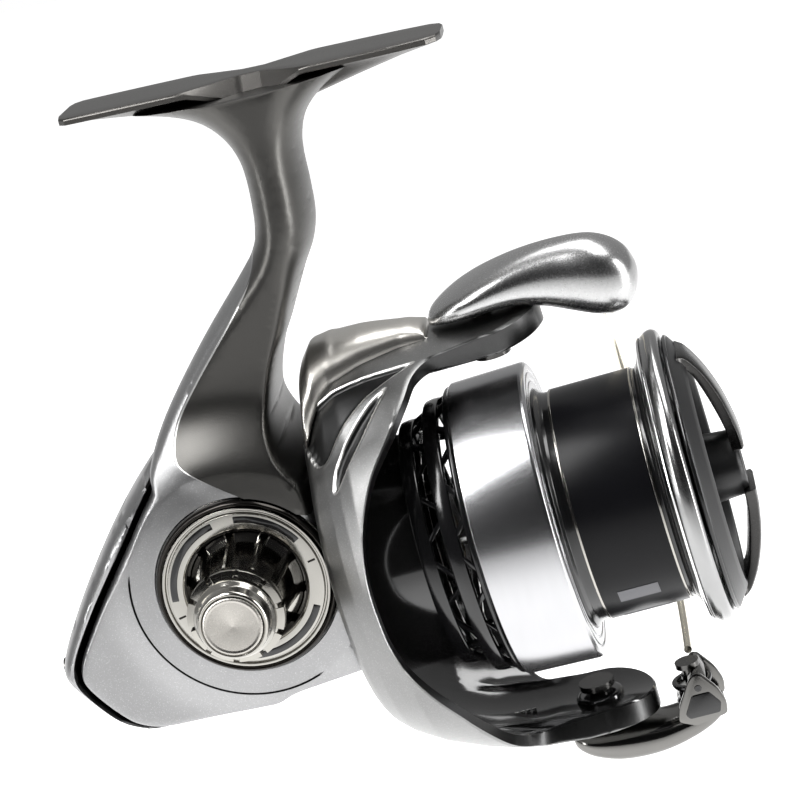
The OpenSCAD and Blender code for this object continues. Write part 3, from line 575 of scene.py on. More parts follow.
TAIL_SEAM = [(-27.6, 22.4), (-30.6, 19.1), (-33.4, 15.8), (-39.9, 8.6), (-44.7, 2.6), (-46.4, -0.2),
    (-46.8, -2.6), (-45.6, -5.4), (-43, -9.2), (-40.6, -11.4), (-37, -12.7), (-30, -13.1), (-22.4, -13.4),
    (-19.5, -13.4), (-16, -12.4), (-8, -12), (-5.6, -11.9)]
TAIL_EDGE = [(-26.9, 24.6), (-28.7, 24.2), (-35.3, 18.4), (-42.3, 10.5), (-47.3, 3.9), (-49.6, 0.1),
    (-49.8, -2.3), (-48.3, -5.4), (-44.9, -10.3), (-41.6, -12.7), (-38, -13.85), (-30, -13.85),
    (-22.5, -13.85), (-22.6, -12.5), (-30, -12.3), (-36.6, -11.8), (-39.8, -10.4), (-42, -8.2), (-44.4, -5),
    (-45.4, -2.4), (-45.2, -0.5), (-43.8, 1.9), (-39, 7.8), (-32.6, 15), (-29.8, 18.4), (-26.9, 21.6)]


TAIL_TURN = 13  # points before the tail's outline turns back
PLATE_SEAM = 16.9  # radius of the groove round the side plate
PLATE_HOLE = 13.1


def inward(outline):
    run = np.roll(outline, -1, 0) - np.roll(outline, 1, 0)
    run /= np.maximum(np.linalg.norm(run, axis=1), 1e-9)[:, None]
    normal = np.c_[run[:, 1], -run[:, 0]]
    return normal * np.where(inside_outline(outline + normal * 0.05, outline), 1, -1)[:, None]


def shell_from_outline(name, outline, height, rounding, creases, body, material, nodes, pitch=1.2,
        closed=True, hole=None):
    """A two-sided body from its side outline. height gives the half thickness and its change at a crease, and
    rounding the edge's radius and power; the two halves meet along the outline. Returns the object and its
    points in the reel's frame. With closed off, the last side of the outline stays open."""
    outline = np.asarray(outline, float)
    low, high = outline.min(0), outline.max(0)
    columns, levels = np.arange(low[0], high[0], pitch), np.arange(low[1], high[1], pitch * 0.9)
    loose = [np.array([(x + (pitch / 2 if k % 2 else 0), z) for k, z in enumerate(levels) for x in columns])]
    normal = inward(outline)
    reach = rounding(outline)[0]
    for u in (0.001, 0.008, 0.025, 0.055, 0.1, 0.16, 0.24, 0.34, 0.46, 0.6, 0.78, 0.97):
        ring = outline + normal * (reach * u)[:, None]
        keep = inside_outline(ring, outline)
        keep[keep] = line_distance(ring[keep], outline, closed) > (reach * u)[keep] * 0.96
        loose.append(ring[keep])
    loose = np.vstack(loose)
    loose = loose[inside_outline(loose, outline)]
    fixed = [outline]
    n = len(outline)
    edges = [(k, (k + 1) % n) for k in range(n)]
    for line, loops in creases:
        line = np.asarray(line, float)
        inside = inside_outline(line, outline)
        inside[inside] = line_distance(line[inside], outline) > 0.15
        loose = loose[line_distance(loose, line, loops) > 0.22]
        order = [n + k for k in range(int(inside.sum()))]
        number = dict(zip(np.nonzero(inside)[0].tolist(), order))
        last = len(line) if loops else len(line) - 1
        edges += [(number[k], number[(k + 1) % len(line)]) for k in range(last) if k in number
            and (k + 1) % len(line) in number]
        fixed.append(line[inside])
        n += len(order)
    points = np.vstack(fixed + [loose])
    flat, _, faces, _, _, _ = delaunay_2d_cdt([Vector(q) for q in points], edges, [], 1, 1e-5)
    flat = np.array([(q.x, q.y) for q in flat])
    far = line_distance(flat, outline, closed)
    far[far < 2e-4] = 0
    reach, power = rounding(flat)
    curve = (1 - (1 - np.clip(far / reach, 0, 1)) ** power) ** (1 / power)
    middles = np.array([flat[list(f)].mean(0) for f in faces])
    inside = inside_outline(middles, outline)
    verts, triangles = [], []
    index = {}
    for side in (-1, 1):
        half = height(flat, side) * curve
        for i, (x, z) in enumerate(flat):
            if far[i] == 0 and side == 1:
                index[(side, i)] = index[(-1, i)]
            else:
                index[(side, i)] = len(verts)
                verts.append((x, side * half[i], z))
        for f, m, within in zip(faces, middles, inside):
            if within and not (hole and side == -1 and hole(m)):
                triangles.append(tuple(index[(side, i)] for i in (f if side == 1 else reversed(f))))
    obj = build(name, verts, triangles, body, material, nodes, sharp=34, merge=1e-8)
    return obj, rig_coordinates(obj)


def shifted(line, amount):
    line = np.asarray(line, float)
    run = np.gradient(line, axis=0)
    run /= np.maximum(np.linalg.norm(run, axis=1), 1e-9)[:, None]
    return line + np.c_[-run[:, 1], run[:, 0]] * amount


def resampled(line, pitch):
    line = np.asarray(line, float)
    step = np.r_[0, np.cumsum(np.linalg.norm(np.diff(line, axis=0), axis=1))]
    at = np.linspace(0, step[-1], max(2, int(step[-1] / pitch)))
    return np.c_[np.interp(at, step, line[:, 0]), np.interp(at, step, line[:, 1])]


STEP = resampled(smooth_open(STEP_LINE, 8), 0.5)
WEDGE = np.vstack([STEP, [(40, 8), (40, 90), (-60, 90), (-60, 60), (-8, 56)]])


def wedge_distance(flat):
    far = line_distance(flat, STEP)
    return np.where(inside_outline(flat, WEDGE), far, -far)


def case_height(flat, side):
    x, z = flat[:, 0], flat[:, 1]
    base = np.interp(z, [-14, 14, 18, 22, 26, 30, 35, 41, 47, 52, 60, 64, 67, 70],
        [12.9, 12.9, 12.4, 11.4, 10.1, 9.0, 7.9, 6.9, 5.7, 5.0, 4.7, 4.8, 5.3, 5.8])
    r = np.hypot(x - CRANK.x, z - CRANK.z)
    boss = 14.7 - 0.4 * smooth_step(r, 12.8, 16.6) - 5.5 * smooth_step(r, 16.0, 27)
    sharp = 1.3
    base = np.log(np.exp(sharp * base) + np.exp(sharp * boss)) / sharp
    inside = wedge_distance(flat)
    base = base + 0.75 * smooth_step(inside, -0.12, 0.12) * (1 - smooth_step(z, 48, 66))
    base = base - 0.35 * smooth_step(-inside, 0, 3) * smooth_step(z, 16, 26)
    if side < 0:
        seam = (np.abs(r - PLATE_SEAM) < 0.1) & (z - CRANK.z < 5) & (x < -12)
        base = base - 0.3 * seam
    return base


def case_rounding(flat):
    x, z = flat[:, 0], flat[:, 1]
    middle = np.interp(z, [20, 30, 38, 45, 50, 60, 70], [-18, -15.5, -8.5, -3, 0.5, 2, 2.8])
    front = np.interp(z, [-20, 36, 43, 50, 63, 70], [1.2, 1.2, 2.2, 3.9, 3.95, 5])
    rear = np.interp(z, [-20, 20, 30, 40, 50, 63, 70], [1.1, 1.3, 2.4, 3.0, 3.9, 3.95, 5])
    power = np.interp(z, [24, 40, 50, 70], [3.2, 2.5, 2.05, 2.0])
    return np.where(x > middle, front, rear), power


def circle_line(r, pitch=1.0):
    steps = int(2 * pi * r / pitch)
    return [(CRANK.x + r * cos(2 * pi * k / steps), CRANK.z + r * sin(2 * pi * k / steps))
        for k in range(steps)]


def make_body():
    rear = smooth_open(TAIL_SEAM[::-1], 6)
    outline = resampled(np.vstack([smooth_open(STEM_FRONT, 6), rear[:-1], smooth_open(STEM_REAR, 6)]), 0.6)
    creases = [(shifted(STEP, 0.13), False), (shifted(STEP, -0.13), False)]
    creases += [(circle_line(r), True) for r in (13.15, 16.74, 16.9, 17.06)]
    case, p = shell_from_outline("reel_body", outline, case_height, case_rounding, creases, "body",
        "case_metal", ["body_case"], closed=False, hole=lambda m: hypot(m[0] - CRANK.x,
        m[1] - CRANK.z) < PLATE_HOLE)
    flat = p[:, [0, 2]]
    r = np.hypot(flat[:, 0] - CRANK.x, flat[:, 1] - CRANK.z)
    # painted shade laid along the real groove round the side plate, only behind and below the crank on the side
    # away from the handle
    groove = np.where((p[:, 1] < -9) & (flat[:, 1] - CRANK.z < 5) & (flat[:, 0] < -12),
        np.abs(r - PLATE_SEAM), 9)
    set_measure(case, "two_tone", np.where(flat[:, 1] > 53, 5, wedge_distance(flat)))
    set_measure(case, "groove", groove)
    # painted highlight: a pale line along the edge of the raised step, from about z 20 to 50 mm
    line = np.abs(wedge_distance(flat) - 0.12)
    fade = smooth_step(flat[:, 1], 20, 24) * (1 - smooth_step(flat[:, 1], 44, 50))
    set_measure(case, "step_highlight", np.where(fade > 0, line + (1 - fade) * 0.3, 9))

    edge = resampled(np.vstack([smooth_open(TAIL_EDGE[:TAIL_TURN], 5),
        smooth_open(TAIL_EDGE[TAIL_TURN:], 3)]), 1.0)
    seam = np.vstack([TAIL_SEAM, [(2.8, 15), (-8, 24)]])

    def tail_height(flat, side):
        near = line_distance(flat, TAIL_SEAM)
        return 11.4 + 1.2 * smooth_step(near, 0.25, 0.6) * (~inside_outline(flat, seam))

    def tail_rounding(flat):
        return np.full(len(flat), 2.6), np.full(len(flat), 2.6)

    line = resampled(smooth_open(TAIL_SEAM[:TAIL_TURN], 5), 1.0)
    tail, p = shell_from_outline("rear_cover_shell", edge, tail_height, tail_rounding,
        [(shifted(line, s), False) for s in (-0.6, -0.25)], "body", "tail_metal",
        ["rear_cover"], pitch=2.2)
    # painted shade in the gap along the seam between the rear cover and the body
    set_measure(tail, "seam_shade", line_distance(p[:, [0, 2]], TAIL_SEAM))
    make_foot()


FOOT = [  # x, top half width, edge half width, edge drop, keel depth, keel half width
    (-23.95, 4, 4.3, 0.15, 1, 4.1), (-23.6, 5.9, 6.2, 0.12, 1.35, 5.6), (-22.6, 7, 7.3, 0.1, 1.6, 6.2),
    (-18, 7.25, 7.5, 0.1, 2.2, 6), (-12, 7.35, 7.6, 0.1, 3, 5.6), (-6.5, 7.3, 7.6, 0.1, 3.9, 5.3),
    (-5.4, 7, 7.5, 0.2, 4.1, 5.2), (1.4, 2.9, 4.9, 2.7, 5.5, 4.6), (4.6, 2.7, 4.7, 2.9, 5.75, 4.5),
    (10.6, 7, 7.5, 0.2, 5.2, 5.3), (11.6, 7.3, 7.6, 0.1, 5, 5.3), (18, 7.15, 7.4, 0.1, 3.6, 5.5),
    (24, 6.8, 7.1, 0.1, 2.4, 5.5), (28, 6.2, 6.5, 0.1, 1.8, 5.2), (29.4, 5, 5.3, 0.12, 1.5, 4.4),
    (29.95, 3, 3.3, 0.15, 1.1, 2.9),
]


def make_foot():
    """The foot, in the row's own frame: a flat seat, waisted sides with flat facets, and a rounded keel."""
    rows = []
    for a, b in zip(FOOT, FOOT[1:]):
        steps = max(1, int((b[0] - a[0]) / 0.6))
        for k in range(steps):
            t = k / steps
            rows.append([u + (v - u) * t for u, v in zip(a, b)])
    rows.append(list(FOOT[-1]))
    verts = []
    under = 16
    for x, top, edge, drop, keel, wide in rows:
        lip = 0.75
        right = [(top * s, 0.0) for s in (0, 0.5, 0.94)] + [(top, -0.05)]
        right += [(edge - 0.08, -drop - 0.08), (edge, -drop - 0.2), (edge, -drop - lip),
            (edge - 0.1, -drop - lip - 0.1)]
        base = drop + lip + 0.12
        for k in range(1, under + 1):
            y = (edge - 0.12) * (1 - k / under)
            bell = 0.5 + 0.5 * cos(pi * min(1.0, y / wide))
            right.append((y, -base - max(0.0, keel - base) * bell ** 0.8))
        loop = right + [(-y, z) for y, z in reversed(right[1:-1])]
        verts += [(x, y, z) for y, z in loop]
    per = len(verts) // len(rows)
    faces = tube_faces(len(rows), per)
    verts = [tuple(FROM_ROW @ (Vector(v) * MM)) for v in verts]
    build("reel_foot", verts, faces, "body", "foot_metal", sharp=24)


make_body()


# ---- side plate and crank cap ----------------------------------------------------

def arc_band(r0, r1, start, end, steps=32):
    angles = [radians(start + (end - start) * k / steps) for k in range(steps + 1)]
    return ([(CRANK.x + r1 * cos(a), CRANK.z + r1 * sin(a)) for a in angles]
        + [(CRANK.x + r0 * cos(a), CRANK.z + r0 * sin(a)) for a in reversed(angles)])


def make_side_plate():
    crank = (CRANK.x, CRANK.z)
    for name, material, nodes, soft, corner, profile in (
        ("plate_rim", "bowl_chrome", ["engine_plate"], 0.4, 5, [(-13.2, 11.95), (-13.2, 13), (-15.2, 13),
            (-15.95, 12.45), (-15.6, 11.95)]),
        ("plate_edge", "nickel", (), 0.05, 3, [(-13, 12.9), (-13, 13.05), (-14.6, 13.05), (-14.6, 12.9)]),
        ("plate_ring", "nickel", (), 0.08, 3, [(-13.4, 8.7), (-13.4, 11.9), (-15.9, 11.9), (-15.9, 11.5),
            (-15.4, 11.45), (-15.4, 11.15), (-15.9, 11.1), (-15.95, 8.95), (-15.7, 8.7)]),
        ("plate_bowl", "bowl_chrome", (), 0.25, 5, [(-9.3, 5.6), (-9.3, 8.6), (-15.75, 8.72), (-15.75, 8.5),
            (-14.2, 7.9), (-13.65, 7.2), (-13.6, 5.6)])):
        turned(name, profile, "body", "plate_nickel", material, nodes=nodes, axis="y", centre=crank,
            soft=soft, corner=corner)
    for i, (start, end) in enumerate(((100, 176), (28, 82), (222, 330))):
        prism(f"plate_arc_{i}", arc_band(9.75, 10.75, start, end), -16.0, -15.7, "body",
            "gloss_black", bevel=0.08)
    for i, angle in enumerate((190, 8)):
        prism(f"plate_mark_{i}", arc_band(9.7, 10.8, angle - 0.8, angle + 0.8, 4), -16.0, -15.8, "body",
            "bowl_chrome", bevel=0.03)


def make_crank_cap():
    crank = (CRANK.x, CRANK.z)
    ribs = 10

    def stretched(along):
        return -13.9 + (along + 13.9) * 1.35

    def fluted(a, k, along, r):
        u = (a * ribs / (2 * pi) + 0.5) % 1.0
        hollow = min(1.0, max(0.0, (0.5 - abs(u - 0.5)) / 0.13 - 0.35))
        deep = 1.1 if -21.9 < along < -14.6 and r > 5.6 else 0.0
        return stretched(along), r - deep * hollow * hollow * (3 - 2 * hollow)

    def notched(a, k, along, r):
        u = (a * ribs / (2 * pi)) % 1.0
        gap = 1.0 if abs(u - 0.5) > 0.4 else 0.0
        return stretched(along), r - (0.75 * gap if r > 6.0 else 0)

    profile = [(-13.9, 4.3), (-13.9, 7.5)] + [(-14.4 - 0.62 * k, 7.95 - 0.13 * k)
        for k in range(12)] + [(-22, 6.2), (-22, 4.3)]
    turned("cap_cone", profile, "crank", "cap_chrome", "cap_chrome", ["crank_cap"], "y", crank, steps=480,
        soft=0.08, corner=2, wave=fluted, sharp=30)
    turned("cap_flange", [(-21.9, 4.2), (-21.9, 6.75), (-23.1, 6.75), (-23.3, 5.2), (-23.3, 4.2)], "crank",
        "cap_chrome", "cap_chrome", (), "y", crank, steps=480, soft=0.1, wave=notched, sharp=30)
    turned("cap_neck", [(-22.8, 4), (-22.8, 5.7), (-23.9, 5.7), (-24.4, 5.15), (-25.4, 4.9), (-25.7, 4.55),
        (-25.6, 4.25), (-24.9, 4)], "crank", "cap_chrome", "cap_chrome", (), "y", crank, soft=0.15,
        wave=lambda a, k, u, r: (stretched(u), r))
    turned("cap_face", [(-24.9, 0.02), (-24.9, 4.15), (-25.75, 4.15), (-25.9, 3.85), (-25.8, 3.55),
        (-25.84, 0.02)], "crank", "cap_disc_metal", "spun_disc", ["cap_disc"], "y", crank, soft=0.06,
        wave=lambda a, k, u, r: (stretched(u), r))


make_side_plate()
make_crank_cap()


# ---- rotor and arms ----------------------------------------------------------------

UPPER = [(-5, 24.6), (-4.4, 26.2), (-3.4, 27.7), (-1.5, 29.6), (1.5, 30.9), (6, 31.35), (32, 31.35)]
SIDE = [(-5, 22.8), (-4.2, 24), (-2, 25.9), (0, 27.3), (2, 28.5), (8, 30.7), (10, 31.3), (32, 31.3)]
LOWER = [(-5, 22.6), (-4, 24), (-2, 25.8), (2, 28.2), (8, 30.6), (15, 32.6), (21, 33.3), (32, 33.35)]
PROFILES = [np.array(line).T for line in (UPPER, SIDE, LOWER)]
ARM_TIP = 8.3
ROTOR_BACK = -5
ROTOR_HOLE = 15.2
SKIN_MM = 0.54  # mm along the skin for a degree round the shaft
LEAF_LOW = [(9.3, -13.6, 28.3), (6.3, -15.6, 27.3), (3.3, -17.8, 25.6), (0.8, -19.9, 23.5),
    (-0.5, -21.3, 21.3), (-0.7, -22.7, 19.7), (0.8, -22.2, 21.2), (3.4, -20.1, 23.8), (6.1, -17.6, 26),
    (8.3, -15.1, 27.6)]
LEAF_MIDDLE = [(13.6, -10, 29.8), (9.1, -10.1, 29.7), (4, -10.4, 29.4), (-0.3, -10.7, 28.3),
    (-3.2, -10.4, 26), (-5.2, -7.9, 23.1), (-3.4, -15.7, 23), (-1.6, -18.1, 23.5), (1, -17, 25.7),
    (4.6, -14.8, 27.5), (9, -12.5, 28.8), (12.6, -10.5, 29.6)]
COVER_SEAM = [(-4.2, -12.6, 23.5), (-2.5, -11.8, 26.2), (1.2, -9, 29.5), (5.8, -7, 30.6), (11.4, -5.1, 31)]


def angle_of(y, z):
    return degrees(atan2(y, z))


def edge_path():
    """The rotor's front edge as (x, angle from the upper arm in degrees), once round the shaft."""
    tip = [(PIVOT_X + ARM_TIP * cos(radians(a)), ARM_TIP * sin(radians(a))) for a in range(0, 91, 9)]
    near = [(x, degrees(asin(y / 31.3))) for x, y in tip]
    near += [(21.4, 16.2), (18.5, 17.3), (15.6, 18.7), (13.2, 23.5), (11.6, 31), (9.6, 38.6), (7.5, 43.9),
        (5.4, 49.2), (3.8, 55), (2.5, 61.2), (1.6, 67.6), (1, 74.5), (0.8, 81.5), (0.9, 89.2), (1.2, 97.1),
        (2.3, 106), (4.4, 115.5), (7.4, 125.5), (9.8, 136.5), (11.4, 147), (13, 157.5), (16.4, 163.6)]
    near += [(x, 180 - degrees(asin(y / 33.3))) for x, y in reversed(tip)]
    return near


def ease(t):
    t = min(1.0, max(0.0, t))
    return t * t * (3 - 2 * t)


def rotor_radius(x, angle):
    """Radius outside, in mm, where angle is from the upper arm in degrees."""
    turn = abs((angle + 180) % 360 - 180)
    up, side, low = (np.interp(x, at, r) for at, r in PROFILES)
    if turn < 90:
        share = ease((turn - 19) / 21)
        return up * (1 - share) + side * share
    share = ease((turn - 92) / 48)
    return side * (1 - share) + low * share


def around_shaft(x, angle, r):
    a = radians(angle)
    return x, r * sin(a), r * cos(a)


def skin_radius(points):
    return np.array([rotor_radius(x, angle_of(y, z)) for x, y, z in points])


def make_rotor():
    half = edge_path()
    path = np.array(half + [(x, 360 - a) for x, a in reversed(half[1:-1])])
    path = np.vstack([path, path[0] + (0, 360)])
    fine = np.array(smooth_open([tuple(p) for p in path], 6))
    metric = np.c_[fine[:, 0], fine[:, 1] * SKIN_MM]
    step = np.r_[0, np.cumsum(np.linalg.norm(np.diff(metric, axis=0), axis=1))]
    count = 640
    at = np.linspace(0, step[-1], count, endpoint=False)
    front = np.c_[np.interp(at, step, fine[:, 0]), np.interp(at, step, fine[:, 1])]
    # at the back the columns are spread evenly round, and meet the edge's angle half way
    base = np.interp(np.arange(count), [0, count * 0.08, count * 0.42, count * 0.5, count * 0.58,
        count * 0.92, count], [0, 22, 158, 180, 202, 338, 360])
    rows = 40
    verts = []
    for (fx, fa), ba in zip(front, base):
        # from the hole in the back wall out and forward over the skin, round the edge and back inside
        column = [(ROTOR_BACK, ba, ROTOR_HOLE), (ROTOR_BACK, ba, rotor_radius(ROTOR_BACK, ba) - 1.2)]
        for k in range(rows + 1):
            t = k / rows
            x = ROTOR_BACK + (fx - ROTOR_BACK) * t
            a = ba + (fa - ba) * min(1.0, t * 1.6)
            r = rotor_radius(x, a)
            if k == 0:
                r -= 0.25
            if k == rows:
                x, r = x - 0.02, r - 0.22
            column.append((x, a, r))
        thick = 2.1 + 1.4 * ease((fx - 12) / 12)
        r_edge = rotor_radius(fx, fa)
        column += [(fx, fa, r_edge - 0.45), (fx + 0.05, fa, r_edge - thick + 0.3),
            (fx - 0.2, fa, r_edge - thick)]
        for k in range(rows, -1, -2):
            t = k / rows
            x = -3.6 + (fx + 3.3) * t
            a = ba + (fa - ba) * min(1.0, t * 1.6)
            wall = 1.7 + (thick - 1.7) * ease((t - 0.2) / 0.6)
            column.append((min(x, fx - 0.25), a, rotor_radius(x, a) - wall))
        column.append((-3.5, ba, ROTOR_HOLE))
        verts += [around_shaft(*c) for c in column]
    faces = ring_faces(count, len(column))
    obj = build("rotor_shell", verts, faces, "rotor",
        ["rotor_metal", "rotor_edge", "rotor_inner"], ["rotor"], sharp=38, merge=1e-7)
    # the edge and the inside take their own finish by place
    p = rig_coordinates(obj)
    radius = np.hypot(p[:, 1], p[:, 2])
    depth = skin_radius(p) - radius
    for polygon in obj.data.polygons:
        ids = list(polygon.vertices)
        d = depth[ids].mean()
        back = p[ids, 0].max() < -4.8
        polygon.material_index = 0 if (d < 0.3 or back) else (1 if depth[ids].min() < 0.6 else 2)
    leaf_marks(obj, p)

    for name, soft, profile in (
        ("rotor_drum", 0.2, [(-4, 15), (9.6, 15), (9.6, 16.1), (8.8, 16.5), (-4, 17.2)]),
        ("rotor_wall", 0.1, [(-5.1, 3.6), (-5.1, 15.4), (-3.9, 15.4), (-3.9, 3.6)]),
        ("rotor_web", 0.1, [(4.2, 3.6), (4.2, 15.4), (6.6, 15.4), (6.6, 3.6)])):
        turned(name, profile, "rotor", "rotor_metal", "rotor_inner", soft=soft)
    make_arm_details()


def leaf_marks(obj, p):
    angle = np.degrees(np.arctan2(np.abs(p[:, 1]), p[:, 2]))
    flat = np.c_[p[:, 0], angle * SKIN_MM]
    best = np.full(len(p), -9.0)
    lines = np.full(len(p), 9.0)
    for leaf in (LEAF_LOW, LEAF_MIDDLE):
        shape = np.array([(x, angle_of(abs(y), z) * SKIN_MM) for x, y, z in leaf])
        shape = np.vstack([smooth_open([tuple(q) for q in np.vstack([shape, shape[:1]])], 5)])[:-1]
        far = line_distance(flat, shape, closed=True)
        inside = inside_outline(flat, shape)
        best = np.maximum(best, np.where(inside, far, -far))
        lines = np.minimum(lines, far)
    upper = angle < 80
    # painted shade: the near black fill of the upper leaf slots, which are also pushed in a little
    set_measure(obj, "leaf", np.where(upper, best, -9))
    # painted highlight: a pale line just outside each upper leaf slot's outline
    outside = np.where(upper & (best > -1.2) & (best < 0.4), np.abs(best + 0.1), 9)
    set_measure(obj, "leaf_rim_highlight", outside)
    radius = np.hypot(p[:, 1], p[:, 2])
    skin = radius > skin_radius(p) - 0.3
    push(obj, -0.55 * smooth_step(best, -0.05, 0.35) * upper * skin)


def make_arm_details():
    # the long cover over the upper arm, from the rotor's back to the foot of the bail lever
    seam = [(x, angle_of(abs(y), z)) for x, y, z in COVER_SEAM] + [(15.6, 8.6)]
    xs = np.linspace(-4.3, 15.6, 44)
    steps = 28
    rows = []
    for x in xs:
        wide = float(np.interp(x, *zip(*seam))) - 0.4
        ring = []
        for layer in (0, 1):
            order = range(steps + 1) if layer == 0 else range(steps, -1, -1)
            for i in order:
                t = -1 + 2 * i / steps
                rim = 1 - abs(t) ** 10
                ends = min(1.0, (x + 4.3) / 0.7, (15.6 - x) / 0.5)
                lift = 0.75 * max(0.0, rim) ** 0.35 * max(0.02, ends) ** 0.5 if layer == 0 else -0.5
                if layer == 0:
                    crown = float(np.interp(x, [-4.3, -3.2, -1.2, 2.5, 8, 13, 15.6],
                        [1.0, 3.2, 3.6, 2.6, 2.0, 1.2, 0.2]))
                    lift += crown * max(0.0, 1 - abs(t) ** 2.6) ** 0.7 * min(1.0, ends)
                a = wide * t
                ring.append(around_shaft(x, a, rotor_radius(x, a) + lift))
        rows.append(ring)
    verts = [v for ring in rows for v in ring]
    per = len(rows[0])
    faces = tube_faces(len(rows), per)
    build("arm_cover_upper_shell", verts, faces, "rotor", "arm_cover_metal",
        ["arm_cover_upper"], sharp=50, merge=1e-8)
    softened("arm_cover_lower_shell", ["arm_cover_lower"], 0.2, 4, "rotor", "rotor_metal")
    # the bosses round the bail's pivots, on the inner faces of both arms
    for name, level, s in (("low", -29.7, 1), ("high", 27.6, -1)):
        turned(f"pivot_boss_{name}", [(level - 0.6 * s, 1.4), (level - 0.6 * s, 3.7), (level + 0.5 * s, 3.5),
            (level + 0.75 * s, 3.0), (level + 0.75 * s, 1.4)], "rotor", "rotor_metal", "rotor_inner", (), "z",
            (PIVOT_X, 0), soft=0.25)


make_rotor()


# ---- bail ---------------------------------------------------------------------------

def loft(name, stations, body, material, nodes, power=2.3):
    """A closed body through sections (x, top, bottom, half width): soft ovals across the x axis."""
    fine = smooth_open(stations, 4)
    verts, rows, around = [], len(fine), 32
    for x, top, bottom, half in fine:
        middle, tall = (top + bottom) / 2, (top - bottom) / 2
        for k in range(around):
            a = 2 * pi * k / around
            c, s = cos(a), sin(a)
            verts.append((x, half * copysign(abs(c) ** (2 / power), c),
                middle + tall * copysign(abs(s) ** (2 / power), s)))
    faces = tube_faces(rows, around)
    build(name, verts, faces, body, material, nodes, sharp=70, subsurf=1)


def make_bail():
    loft("lever", [(15.9, 32.6, 31.8, 0.6), (16.6, 33.9, 31.75, 3.2), (18.4, 35.1, 31.72, 5.4),
        (21, 36.3, 31.72, 6.9), (24, 37.3, 31.72, 7.2), (27, 38, 31.6, 6.8), (30, 38.5, 31, 6.2),
        (33, 38.75, 29.9, 5.8), (36, 38.75, 28.4, 5.75), (39, 38.5, 27, 6), (41.5, 37.9, 26.35, 6),
        (43.8, 36.6, 26.9, 5.2), (45.4, 34.8, 28.6, 3.7), (46.1, 32.8, 30.6, 1.8), (46.25, 32, 31.4, 0.5)],
        "bail", "lever_metal", ["bail_lever"])
    path = []
    steps = 120
    for i in range(steps + 1):
        a = radians(4 + 172 * i / steps)
        out = 38 * sin(a) ** (2 / 2.6)
        up = 28.3 * copysign(abs(cos(a)) ** (2 / 2.6), cos(a))
        lean = radians(0.5)
        path.append(Vector((38 + 0.025 * up - out * sin(lean), out * cos(lean), up)))
    sides = 16
    verts = []
    side = Vector((1, 0, 0))
    for i, q in enumerate(path):
        run = (path[min(i + 1, steps)] - path[max(i - 1, 0)]).normalized()
        up = run.cross(side).normalized()
        verts += [tuple(q + 0.6 * (cos(2 * pi * k / sides) * side + sin(2 * pi * k / sides) * up))
            for k in range(sides)]
    faces = tube_faces(steps + 1, sides)
    build("bail_loop", verts, faces, "bail", "wire_metal", ["bail_wire"])
    loft("bail_arm_shell", [(17.5, -34.4, -35.4, 0.8), (18.2, -33.9, -36.6, 3), (20.4, -33.75, -38, 4.7),
        (24, -33.75, -39.3, 5.4), (28, -34.4, -39.8, 5.1), (31.5, -34.9, -39.7, 4.5), (34.8, -34.6, -39, 4.2),
        (37.4, -34.4, -38, 4.1), (39.4, -34.3, -36.9, 3.6), (40.5, -34.5, -35.7, 2.4),
        (40.8, -34.8, -35.3, 0.7)], "bail", "dark_nickel", ["bail_arm"], power=2.7)
    # the bracket that carries the wire over the roller: two cheeks and a peak with an eye
    cheek = [(33.6, -35.2, 0.6), (34.2, -33, 0.8), (36.6, -29.2, 0.8), (37.5, -28.35, 0.5),
        (38.5, -28.5, 0.5), (40.4, -31.2, 0.9), (41.2, -33.6, 0.8), (40.9, -35.6, 0.6), (36, -36.4, 0.4)]
    for i, (y0, y1) in enumerate(((-4.3, -3.3), (3.3, 4.3))):
        prism(f"arm_cheek_{i}", rounded(cheek, 0.5), y0, y1, "bail", "dark_nickel", bevel=0.25)
    peak = [(36.3, -29.9, 0.4), (37.5, -28.35, 0.5), (38.5, -28.5, 0.5), (39.3, -29.9, 0.4)]
    prism("arm_peak", rounded(peak, 0.4), -4.2, 4.2, "bail", "dark_nickel", bevel=0.2)
    turned("arm_eye", [(-4.42, 0.02), (-4.42, 0.5), (-4.2, 0.56), (-4.1, 0.02)], "bail", "arm_chrome",
        "gloss_black", (), "y", (37.7, -30.6), steps=32, soft=0.05)
    facet = [(34.9, -34.2), (36.5, -31.5), (39.1, -31.5), (40.4, -33.5), (39.9, -35), (35.4, -35)]
    prism("arm_facet", rounded(facet, 0.3), -4.5, -4.2, "bail", "gloss_black", bevel=0.12)
    turned("roller", [(ROLLER.z - 2.1, 2.15), (ROLLER.z - 2.1, 3.0), (ROLLER.z - 1.5, 3.0),
        (ROLLER.z - 0.9, 2.5), (ROLLER.z + 0.2, 2.5), (ROLLER.z + 0.9, 3.0), (ROLLER.z + 1.4, 3.0),
        (ROLLER.z + 1.4, 2.15)], "roller", "roller_black", "gloss_black", ["line_roller"], "z", (ROLLER.x, 0),
        soft=0.2)


make_bail()


# ---- spool and drag knob ---------------------------------------------------------------

